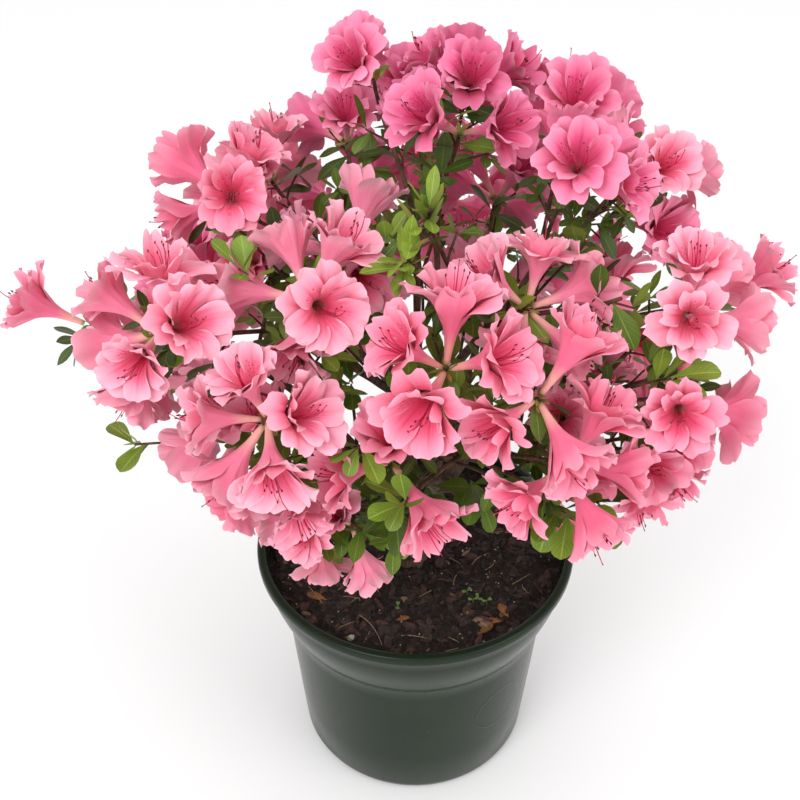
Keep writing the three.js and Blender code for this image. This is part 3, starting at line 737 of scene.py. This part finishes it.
for number, (compass, lift, reach, size) in enumerate(SPROUTS):
    way = heading(compass, lift)
    bough = bough_lines[max(mass_ways, key=lambda name: mass_ways[name].dot(way))]
    draw = draws(2500 + number)
    tip, root = CROWN + way * reach, bough.point(draw(0.5, 0.9))
    axis = unit(way + 0.35 * UP)
    leaving = bough.tangent(0.7)
    stretch = np.linalg.norm(tip - root)
    sprig = Line(root, root + leaving * stretch * 0.3, tip - axis * stretch * 0.3, tip)
    twigs.add(*tube(sprig, tapered(*SPRIG_RADII), 5, 12))
    sprouts.append(SimpleNamespace(tip=tip, axis=axis, size=size, sunlit=reach > SUNLIT, draw=draw))
young_bark = bark_material("young_bark", (0.03, 0.014, 0.009), (0.14, 0.07, 0.04))
twigs.piece("twigs", young_bark, "bark")

# ---- Leaves ---------------------------------------------------------------------------------
# Small thick blades, broadest past the middle and rounded at the end, on very short stalks, in
# whorls under the trusses and in tufts on the side twigs. New shoots are a bright yellow-green.

LEAF_LENGTH, LEAF_WIDTH = 25.0, 12.0
LEAF_OUTLINE = ((0, 0.09), (0.1, 0.14), (0.22, 0.42), (0.4, 0.78), (0.56, 0.98), (0.7, 0.97),
                (0.83, 0.74), (0.93, 0.4), (1.0, 0.04))
ROUND_OUTLINE = ((0, 0.09), (0.1, 0.13), (0.22, 0.32), (0.4, 0.62), (0.58, 0.9), (0.74, 1.0),
                 (0.87, 0.84), (0.95, 0.54), (1.0, 0.08))
LEAF_ACROSS = (-1.0, -0.5, 0.0, 0.5, 1.0)
# Round a shoot's tip: how many leaves, and how far they lean out, in degrees.
WHORLS = {"truss": (6, (58, 108)), "leafy": (8, (30, 80)), "new growth": (13, (10, 62))}
TUFT_LEAVES, TUFT_LEAN = 5, (30, 85)
SPROUT_LEAVES, SPROUT_LEAN = 9, (22, 60)


def leaf_shape(draw, width, outline=LEAF_OUTLINE):
    """One leaf along +Z, its upper face towards -Y: points, faces and places on its map."""
    cup, droop, wave = draw(-0.1, 0.3), draw(0.02, 0.24), draw(0, 6.28)
    points, places = [], []
    for along, half in outline:
        for across in LEAF_ACROSS:
            x = across * half * width / 2
            down = (LEAF_LENGTH * droop * along ** 2 - cup * abs(x)
                    + 0.35 * across * half * math.sin(7 * along + wave))
            points.append((x, down, LEAF_LENGTH * along))
            places.append(((across + 1) / 2, along))
    return np.array(points), grid_faces(len(outline), len(LEAF_ACROSS)), np.array(places)


draw = draws(77)
leaf_shapes = [leaf_shape(draw, LEAF_WIDTH * draw(0.74, 1.02)) for _ in range(12)]
broad_leaf_shapes = [leaf_shape(draw, LEAF_WIDTH * draw(1.0, 1.25), ROUND_OUTLINE) for _ in range(8)]
new_leaf_shapes = [leaf_shape(draw, LEAF_WIDTH * draw(0.5, 0.7)) for _ in range(6)]

every_flower = [(shoot.tip, flower.way, flower.size) for shoot in shoots for flower in shoot.flowers]
flower_feet, flower_ways, flower_sizes = (np.array(column) for column in zip(*every_flower))


def in_a_flower(spot):
    """Whether a point is inside some flower's funnel, where no leaf grows."""
    offsets = spot - flower_feet
    along = (offsets * flower_ways).sum(axis=1)
    aside = np.linalg.norm(offsets - along[:, None] * flower_ways, axis=1)
    share = along / (FLOWER_LENGTH * flower_sizes)
    # The funnel's radius, as a share of its widest, at three places along it.
    widest = FLOWER_RADIUS * flower_sizes * np.interp(share, (0.2, 0.5, 1.0), (0.15, 0.35, 1.1))
    return bool(np.any((share > 0.2) & (share < 1.25) & (aside < widest)))


def add_leaf(pile, shapes, base, way, size, draw):
    """Adds a leaf, unless it would stand in a flower."""
    points, faces, places = one_of(shapes, draw)
    turn = draw(-0.35, 0.35)
    if any(in_a_flower(base + way * LEAF_LENGTH * size * share) for share in (0.4, 0.7, 1.0)):
        return
    pile.add(points * size @ axes_along(way, turn) + base, faces, places)


leaf_piles = {"dark": Pile(), "middle": Pile(), "light": Pile(), "new": Pile()}


def leaf_tint(kind, draw):
    if kind == "new growth":
        return "new"
    pick = draw()
    return "dark" if pick < 0.42 else "middle" if pick < 0.82 else "light"


for shoot in shoots:
    draw = shoot.draw
    shapes = new_leaf_shapes if shoot.kind == "new growth" else leaf_shapes
    pile = leaf_piles[leaf_tint(shoot.kind, draw)]
    whorl, lean = WHORLS["truss" if shoot.flowers else shoot.kind]
    start = draw(0, 2 * math.pi)
    for i in range(whorl):
        way = tilted(shoot.axis, math.radians(draw(*lean)), start + i * 2.4 + draw(-0.3, 0.3))
        base = shoot.tip - shoot.axis * (3 + i * 1.5)
        add_leaf(pile, shapes, base, way, draw(0.75, 1.18), draw)
for tuft in tufts:
    draw = tuft.draw
    pile = leaf_piles[leaf_tint(tuft.kind if draw() < 0.5 else "inner", draw)]
    start = draw(0, 2 * math.pi)
    for i in range(TUFT_LEAVES):
        spin = start + i * 2 * math.pi / TUFT_LEAVES
        way = tilted(tuft.axis, math.radians(draw(*TUFT_LEAN)), spin + draw(-0.3, 0.3))
        base = tuft.tip - tuft.axis * i * 0.9
        add_leaf(pile, leaf_shapes, base, way, tuft.size * draw(0.8, 1.2), draw)
for number, sprout in enumerate(sprouts):
    draw = sprout.draw
    # Painted light: the outer, sunlit sprouts take the paler green, and so does every third sprout.
    pile = leaf_piles["light" if sprout.sunlit or number % 3 == 0 else "middle"]
    start = draw(0, 2 * math.pi)
    for i in range(SPROUT_LEAVES):
        way = tilted(sprout.axis, math.radians(draw(*SPROUT_LEAN) + 3 * i), start + i * 2.4)
        base = sprout.tip - sprout.axis * i * 1.6
        add_leaf(pile, broad_leaf_shapes, base, way, sprout.size * draw(0.72, 1.05), draw)


class Marks(Nodes):
    """A shader node group that works out a leaf's or a petal's marks from its surface map."""

    def __init__(self, name, *marks):
        super().__init__(bpy.data.node_groups.new(name, "ShaderNodeTree"))
        sockets = self.tree.interface
        sockets.new_socket("Map", in_out="INPUT", socket_type="NodeSocketVector")
        for mark in marks:
            sockets.new_socket(mark, in_out="OUTPUT", socket_type="NodeSocketFloat")
        self.map = self.tree.nodes.new("NodeGroupInput").outputs["Map"]
        self.marks = self.tree.nodes.new("NodeGroupOutput").inputs
        split = self.node("ShaderNodeSeparateXYZ", {"Vector": self.map}).outputs
        self.across, self.along = split["X"], split["Y"]

    def give(self, mark, value):
        self.tree.links.new(value, self.marks[mark])

    def on(self, shading):
        """Places the group in a material."""
        surface_map = shading.node("ShaderNodeUVMap", uv_map="OFBake").outputs["UV"]
        return shading.node("ShaderNodeGroup", {"Map": surface_map}, node_tree=self.tree).outputs


def leaf_veins():
    """Veins are 1 on the midrib, and less on the slanting side veins."""
    group = Marks("leaf_veins", "Veins")
    off_midrib = group.math("ABSOLUTE", group.math("SUBTRACT", group.across, 0.5))
    midrib = group.mapped(off_midrib, 0.012, 0.05, 1.0, 0.0)
    slanted = group.math("MULTIPLY_ADD", off_midrib, -0.7, group.along)
    waved = group.math("SINE", group.math("MULTIPLY", slanted, 46.0))
    side_veins = group.mapped(waved, 0.75, 1.0, 0.0, 0.4)
    group.give("Veins", group.math("MAXIMUM", midrib, side_veins))
    return group


veins = leaf_veins()


def leaf_material(name, deep, light, rib, roughness):
    """Semi-gloss green with paler veins and a duller, paler underside."""
    shading = Shading(name, {"Specular IOR Level": 0.32, "Roughness": roughness})
    vein = veins.on(shading)["Veins"]
    green = shading.ramp(shading.noise(shading.place(), 60.0, 3.0), ((0.3, deep), (0.7, light)))
    upper = shading.mixed(vein, green, rib)
    under = shading.mixed(0.45, upper, rib)
    shading.feed("Base Color", shading.mixed(shading.behind(), upper, under))
    shading.relief(vein, 0.35, 0.0004, sunk=True)
    return shading.material


# Deep and light green, the veins' colour and the roughness.
leaf_greens = {
    "dark": ((0.034, 0.068, 0.008), (0.07, 0.122, 0.014), (0.13, 0.2, 0.035), 0.38),
    "middle": ((0.075, 0.135, 0.013), (0.14, 0.225, 0.022), (0.22, 0.32, 0.06), 0.4),
    "light": ((0.13, 0.215, 0.018), (0.22, 0.33, 0.032), (0.32, 0.43, 0.09), 0.42),
    "new": ((0.15, 0.23, 0.018), (0.26, 0.36, 0.03), (0.38, 0.47, 0.1), 0.44),
}
for tint, green in leaf_greens.items():
    name = "leaf" if tint == "middle" else f"{tint}_leaf"
    leaf_piles[tint].piece(f"{tint}_leaves", leaf_material(name, *green), "foliage")

# ---- Litter of leaves, and seedlings --------------------------------------------------------
# A few fallen leaves, dry and orange to red-brown, have curled up on the mix, and tiny seedlings
# with two round leaves each have come up in it.

# Each fallen leaf: x, y, turn and share of full size. Each seedling: x, y.
FALLEN_LEAVES = ((45, -68, 0.6, 0.52), (58, -52, 1.9, 0.6), (51, -61, 2.9, 0.45),
                 (-66, -40, 2.8, 0.6), (20, 70, 0.4, 0.7), (-40, 60, 1.2, 0.6),
                 (-9, -59, 0.3, 0.4))
SEEDLINGS = ((34, -37), (42, -41), (47, -45), (38, -44), (-12, -50))
SEEDLING_LEAF = 0.14  # share of a full leaf's size

fallen, seedlings = Pile(), Pile()
draw = draws(41)
for x, y, turn, size in FALLEN_LEAVES:
    points, faces, places = one_of(leaf_shapes, draw)
    along, across = points[:, 2] - LEAF_LENGTH / 2, -points[:, 0]
    curled = 0.05 * across ** 2 + 0.012 * along ** 2 - points[:, 1] * 0.3
    flat = np.stack([along, across, curled], -1) * size
    fallen.add(laid(flat, x, y, turn, draw(0.1, 0.4), draw(0, 6), sunk=-1.0), faces, places)
for x, y in SEEDLINGS:
    turn = draw(0, 6)
    top = np.array([x, y, soil_height(x, y) + draw(2.5, 4)])
    for side_turn in (turn, turn + math.pi):
        points, faces, places = one_of(broad_leaf_shapes, draw)
        flat = np.stack([points[:, 2], -points[:, 0] * 1.5, -points[:, 1]], -1) * SEEDLING_LEAF
        cosine, sine = math.cos(side_turn), math.sin(side_turn)
        risen = [[cosine, sine, 0.35], [-sine, cosine, 0], [0, 0, 1]]
        seedlings.add(flat @ risen + top, faces, places)
    stalk = Line(top - [0, 0, 5], top - [0, 0, 2], top)
    points, faces = tube(stalk, tapered(0.3, 0.25), 4, 3)
    seedlings.add(points, faces, np.zeros((len(points), 2)))
fallen.piece("fallen_leaves", leaf_material("fallen_leaf", (0.09, 0.035, 0.012), (0.3, 0.11, 0.02),
                                            (0.36, 0.17, 0.05), 0.6), "foliage")
seedlings.piece("seedlings", leaf_material("seedling_leaf", (0.09, 0.17, 0.03), (0.14, 0.26, 0.05),
                                           (0.2, 0.33, 0.1), 0.5), "foliage")

# ---- Flowers --------------------------------------------------------------------------------
# Each is a funnel inside a funnel, both with five broad lobes that overlap and ruffle at their
# edges: coral pink low down and in front, cooler rose at the top. The upper lobes are freckled.

FLOWER_STALK = 2.0                # from a shoot's tip to the foot of its flowers
LOBES = 5
PETAL_HALF = math.radians(36)     # half of a lobe's share of the ring
OVERLAP = math.radians(9)         # a lobe's side over the next lobe
TUBE_SHARE = 0.44                 # of a petal's length: from here on the lobes are apart
SCALLOP = 0.022                   # dents in a lobe's edge, as a share of the petal's length
RUFFLES = ((5, 1.9), (9, 0.9))    # waves of a lobe's edge: how many and how high
END_BEND = (-7.5, 3.0)            # how far a lobe's end bends inwards; below zero is outwards
SIDE_CURL = (-4.2, 1.2)           # the same for its sides
TURNED_UP, GROOVE = 1.3, -1.0     # one side of a lobe is raised, and its middle line is sunk
COROLLAS = 14                     # different funnels of each kind
OUTER_OPENNESS, INNER_OPENNESS = (0.86, 1.08), (0.68, 0.88)
INNER_SIZE, INNER_RISE = 0.95, 3.4  # the inner funnel is smaller and stands higher
FRECKLE, TUBE_FOOT = (0.4, 0.012, 0.08), (0.3, 0.3, 0.07)  # colours that all tints share
PETAL_SHARES = np.concatenate([np.linspace(0, 0.5, 6), np.linspace(0.57, 1, 9)])
PETAL_ACROSS = np.linspace(-1, 1, 13)
# Along a petal: share of its length, radius and height as shares of the flower's own.
FUNNEL = np.array(((0, 0.07, 0.03), (0.12, 0.085, 0.15), (0.28, 0.125, 0.33), (0.42, 0.21, 0.48),
                   (0.55, 0.34, 0.61), (0.68, 0.51, 0.73), (0.8, 0.69, 0.83), (0.9, 0.87, 0.9),
                   (1.0, 1.04, 0.95)))


def smooth_step(low, high, value):
    share = np.clip((value - low) / (high - low), 0, 1)
    return share * share * (3 - 2 * share)


def corolla(draw, openness):
    """One funnel along +Z, its first lobe towards +X: points, faces and places on its map."""
    points, faces, places = [], [], []
    across, along = np.meshgrid(PETAL_ACROSS, PETAL_SHARES)
    lobe_faces = grid_faces(len(PETAL_SHARES), len(PETAL_ACROSS))[:, ::-1]
    for lobe in range(LOBES):
        length = draw(0.93, 1.04)
        round_edge = np.arctan2(across * 1.2, along - 0.3)
        margin = np.clip(np.maximum(np.abs(across), along) * 2 - 1, 0, 1) ** 2
        scallop = SCALLOP * np.sin(round_edge * 7 + draw(0, 6.28)) * margin
        share = along * (1 - draw(0.13, 0.19) * np.abs(across) ** 3 + scallop)
        radius = np.interp(share, FUNNEL[:, 0], FUNNEL[:, 1]) * FLOWER_RADIUS
        height = np.interp(share, FUNNEL[:, 0], FUNNEL[:, 2]) * FLOWER_LENGTH
        free = smooth_step(TUBE_SHARE, 1.0, share)
        half = PETAL_HALF + OVERLAP * smooth_step(TUBE_SHARE, 0.7, share)
        rounded = across * half * (1 - 0.3 * along ** 6)
        angle = lobe * 2 * PETAL_HALF + rounded + draw(-0.1, 0.1) * free
        ruffle = sum(np.sin(round_edge * waves + draw(0, 6.28)) * high
                     for waves, high in RUFFLES) * margin * free
        bend = draw(*END_BEND) * smooth_step(0.62, 1.0, share)
        curl = draw(*SIDE_CURL) * across ** 2 * free
        turned_up = across * TURNED_UP * smooth_step(TUBE_SHARE, 0.7, share)
        groove = GROOVE * np.exp(-(across / 0.16) ** 2) * smooth_step(0.3, 0.6, share)
        lift = ruffle + bend + curl + turned_up + groove
        radius = radius * (1 + (openness * length - 1) * free) - lift * 0.6
        height = height - (openness - 1) * 14 * free + lift * 0.8 + (length - 1) * 30 * free
        spread = np.stack([radius * np.cos(angle), radius * np.sin(angle), height], -1)
        points.append(spread.reshape(-1, 3))
        faces.append(lobe_faces + lobe * across.size)
        places.append(np.stack([(lobe + (across + 1) / 2) / LOBES, along], -1).reshape(-1, 2))
    return np.concatenate(points), np.concatenate(faces), np.concatenate(places)


draw = draws(55)
outer_corollas = [corolla(draw, draw(*OUTER_OPENNESS)) for _ in range(COROLLAS)]
inner_corollas = [corolla(draw, draw(*INNER_OPENNESS)) for _ in range(COROLLAS)]


def flower_turn(flower):
    """The turn that has the flower's freckled lobe as nearly uppermost as its own turn allows."""
    side, over = sides(flower.way)
    top = math.atan2(over[2], side[2])
    lobe = round((top - flower.turn) / (2 * PETAL_HALF) - 0.5) + 0.5
    return flower.turn + lobe * 2 * PETAL_HALF


def marked_petals():
    """Where a petal's margin, freckles, rays and fine streaks are, and how far along it."""
    group = Marks("petal_marks", "Along", "Margin", "Freckles", "Rays", "Streaks")
    along = group.along
    group.give("Along", along)
    in_lobe = group.math("FRACT", group.math("MULTIPLY", group.across, float(LOBES)))
    off_middle = group.math("ABSOLUTE", group.math("SUBTRACT", in_lobe, 0.5))
    aside = group.math("MULTIPLY", off_middle, 2.0)

    # Margin: near the tip, or near a side of a lobe where the lobes are apart.
    apart = group.mapped(along, 0.5, 0.7, 0.0, 1.0)
    nearest_edge = group.math("MAXIMUM", group.math("MULTIPLY", aside, apart), along)
    group.give("Margin", group.mapped(nearest_edge, 0.72, 1.0, 0.0, 1.0))

    # Freckles: small dots on the upper lobe, part of the way along.
    dots = group.node("ShaderNodeTexVoronoi", {
        "Vector": group.stretched(group.map, (62.0, 18.0, 1.0)), "Scale": 1.0,
        "Randomness": 0.9}, voronoi_dimensions="2D").outputs["Distance"]
    small_dots = group.mapped(dots, 0.12, 0.3, 0.8, 0.0)
    from_upper = group.math("PINGPONG", group.math("SUBTRACT", group.across, 0.1), 1.0)
    on_upper = group.mapped(from_upper, 0.05, 0.12, 1.0, 0.0)
    part_way = group.math("COMPARE", along, 0.6, 0.14)
    upper_dots = group.math("MULTIPLY", small_dots, on_upper)
    group.give("Freckles", group.math("MULTIPLY", upper_dots, part_way))

    # Rays: fine veins and each lobe's middle line, which fade towards the tip.
    fanned = group.stretched(group.map, (80.0, 2.0, 1.0))
    streaks = group.noise(fanned, 1.0, 2.0, noise_dimensions="2D")
    group.give("Streaks", streaks)
    vein_lines = group.mapped(streaks, 0.5, 0.7, 0.0, 0.6)
    middle_line = group.mapped(aside, 0.03, 0.16, 0.75, 0.0)
    fading = group.mapped(along, 0.6, 0.97, 1.0, 0.1)
    all_lines = group.math("MAXIMUM", vein_lines, middle_line)
    group.give("Rays", group.math("MULTIPLY", all_lines, fading))
    return group


petal_marks = marked_petals()


def petal_material(name, body, edge, throat, base):
    """Soft thin petals: inside deep in the throat, rayed and freckled, and paler at the edge;
    outside plain, pale towards the foot of the tube, which is green where it joins the stalk."""
    shading = Shading(name, {"Roughness": 0.5, "Specular IOR Level": 0.25, "Sheen Weight": 0.2})
    marks = petal_marks.on(shading)
    inside = shading.ramp(marks["Along"], (
        (0.0, base), (0.2, base), (0.4, throat), (0.74, body), (1.0, body)))
    rayed = shading.mixed(marks["Rays"], inside, throat)
    edged = shading.mixed(marks["Margin"], rayed, edge)
    freckled = shading.mixed(marks["Freckles"], edged, FRECKLE)
    outside = shading.ramp(marks["Along"], (
        (0.0, TUBE_FOOT), (0.06, base), (0.18, base), (0.38, body), (0.7, body), (1.0, edge)))
    shading.feed("Base Color", shading.mixed(shading.behind(), freckled, outside))
    shading.relief(marks["Streaks"], 0.4, 0.0006)
    return shading.material


# Body, edge, throat and tube of each tint.
petal_tints = {
    "coral": ((0.91, 0.18, 0.32), (0.97, 0.41, 0.54), (0.8, 0.05, 0.15), (0.92, 0.45, 0.39)),
    "light_coral": ((0.94, 0.255, 0.4), (0.98, 0.5, 0.61), (0.84, 0.075, 0.18), (0.94, 0.52, 0.44)),
    "rose": ((0.86, 0.145, 0.32), (0.94, 0.35, 0.52), (0.68, 0.04, 0.16), (0.88, 0.4, 0.38)),
    "deep_rose": ((0.79, 0.11, 0.275), (0.89, 0.28, 0.46), (0.58, 0.032, 0.135), (0.84, 0.34, 0.34)),
}
petal_piles = {tint: Pile() for tint in petal_tints}


def petal_tint(shoot, draw):
    """The upper and rear trusses are cooler and deeper than the front ones."""
    cool = 0.1 + 0.6 * shoot.way[1] + 0.75 * shoot.way[2]
    if draw() < cool:
        return "deep_rose" if draw() < 0.45 else "rose"
    return "light_coral" if draw() < 0.42 else "coral"


def add_petals(pile, flower, foot, draw):
    """Both funnels of a flower, the inner one turned by half a lobe."""
    for corollas, share, rise, turn in ((outer_corollas, 1.0, 0.0, 0.0),
                                        (inner_corollas, INNER_SIZE, INNER_RISE, PETAL_HALF)):
        points, faces, places = one_of(corollas, draw)
        axes = axes_along(flower.way, flower_turn(flower) + turn)
        pile.add((points * share + [0, 0, rise]) * flower.size @ axes + foot, faces, places)


# Bud scales stay round the foot of a truss: small pointed bracts, yellow-green to rusty.
BUD_SCALES, BUD_SCALE_LEAN = 9, (25, 95)
BUD_SCALE_SIZES = (0.26, 0.4)  # shares of a new leaf's size
bud_scales = {"green": Pile(), "rusty": Pile()}


def add_bud_scales(shoot, draw):
    for i in range(BUD_SCALES):
        points, faces, places = one_of(new_leaf_shapes, draw)
        way = tilted(shoot.axis, math.radians(draw(*BUD_SCALE_LEAN)), i * 2.4 + draw(-0.3, 0.3))
        scales = bud_scales["rusty" if draw() < 0.35 else "green"]
        turned_scale = points * draw(*BUD_SCALE_SIZES) @ axes_along(way)
        scales.add(turned_scale + shoot.tip - shoot.axis * draw(0, 4), faces, places)


# Stamens and a longer style: crimson threads that arch up out of the throat, with dark anthers.
STAMENS = 6
STAMEN_REACH, STYLE_REACH = (0.88, 1.08), 1.16  # shares of the flower's length
STAMEN_RADII, STYLE_RADII = (0.3, 0.22), (0.42, 0.3)
threads, anthers = Pile(), Pile()


def anther_shape(size):
    ring = [(size * 0.55 * math.cos(a), size * 0.55 * math.sin(a), 0)
            for a in np.linspace(0, 2 * math.pi, 5, endpoint=False)]
    points = np.array([(0, 0, -size), *ring, (0, 0, size)])
    return points, [face for k in range(5) for face in (
        (0, 1 + (k + 1) % 5, 1 + k), (6, 1 + k, 1 + (k + 1) % 5))]


def add_threads(flower, foot, draw):
    axes = axes_along(flower.way, flower_turn(flower))
    for i in range(STAMENS + 1):
        style = i == STAMENS
        aside, out = draw(-1.1, 1.1), draw(1.5, 3.5)
        reach = FLOWER_LENGTH * (STYLE_REACH if style else draw(*STAMEN_REACH))
        bend = draw(1, 5)
        run = Line(*(np.array(point) * flower.size @ axes + foot for point in (
            (0, 0, 12), (-out, aside * 2, reach * 0.55), (-out - 3, aside * 4, reach * 0.8),
            (-out + bend, aside * 5.5, reach))))
        threads.add(*tube(run, tapered(*(STYLE_RADII if style else STAMEN_RADII)), 3, 7))
        points, faces = anther_shape(0.8 if style else 1.0)
        anthers.add(points * [1, 1, 0.8 if style else 1.2] @ axes + run.point(1), faces)


for number, shoot in enumerate(shoots):
    draw = draws(3000 + number)
    if shoot.flowers:
        add_bud_scales(shoot, draw)
    tint = petal_tint(shoot, draw)
    for flower in shoot.flowers:
        foot = shoot.tip + flower.way * FLOWER_STALK
        add_petals(petal_piles[tint], flower, foot, draw)
        add_threads(flower, foot, draw)

crimson = grained_material("stamen_thread", (0.5, 0.025, 0.09), (0.7, 0.07, 0.16), roughness=0.5)
pollen = grained_material("anther", (0.1, 0.01, 0.025), (0.22, 0.03, 0.05), roughness=0.6)
green_scale = leaf_material("green_bud_scale", (0.2, 0.24, 0.03), (0.36, 0.4, 0.07),
                            (0.42, 0.45, 0.12), 0.5)
rusty_scale = leaf_material("rusty_bud_scale", (0.2, 0.1, 0.025), (0.34, 0.2, 0.06),
                            (0.42, 0.3, 0.1), 0.6)
threads.piece("stamens", crimson, "blossom")
anthers.piece("anthers", pollen, "blossom")
bud_scales["green"].piece("green_bud_scales", green_scale, "foliage")
bud_scales["rusty"].piece("rusty_bud_scales", rusty_scale, "foliage")
for tint, pile in petal_piles.items():
    petals = petal_material(f"{tint}_petal", *petal_tints[tint])
    pile.piece(f"{tint}_petals", petals, "blossom", list(MASSES) if tint == "coral" else ())

# ---- Floor and light ------------------------------------------------------------------------
# A plain pale studio floor under soft white light from above, with a larger, stronger source in
# front on the left.

bpy.ops.mesh.primitive_plane_add(size=8, location=(0, 0, 0))
floor = bpy.context.object
floor.name = "floor"
floor_paint = Shading("floor_paint", {"Base Color": (0.93, 0.93, 0.93, 1), "Roughness": 0.9,
                                      "Specular IOR Level": 0.1})
floor.data.materials.append(floor_paint.material)

world = bpy.data.worlds.new("studio")
world.use_nodes = True
world.node_tree.nodes["Background"].inputs["Color"].default_value = (1, 1, 1, 1)
world.node_tree.nodes["Background"].inputs["Strength"].default_value = 0.97
bpy.context.scene.world = world


def soft_box(name, place, aim, width, power):
    light = bpy.data.objects.new(name, bpy.data.lights.new(name, "AREA"))
    light.data.size = width
    light.data.energy = power
    light.location = place
    light.rotation_euler = (Vector(aim) - Vector(place)).to_track_quat("-Z", "Y").to_euler()
    bpy.context.scene.collection.objects.link(light)


soft_box("key_light", (-0.9, -1.5, 1.9), (0, 0, 0.3), 1.0, 20)
soft_box("fill_light", (1.4, -0.9, 1.2), (0, 0, 0.3), 1.2, 8)

bpy.context.scene.view_settings.view_transform = "Standard"
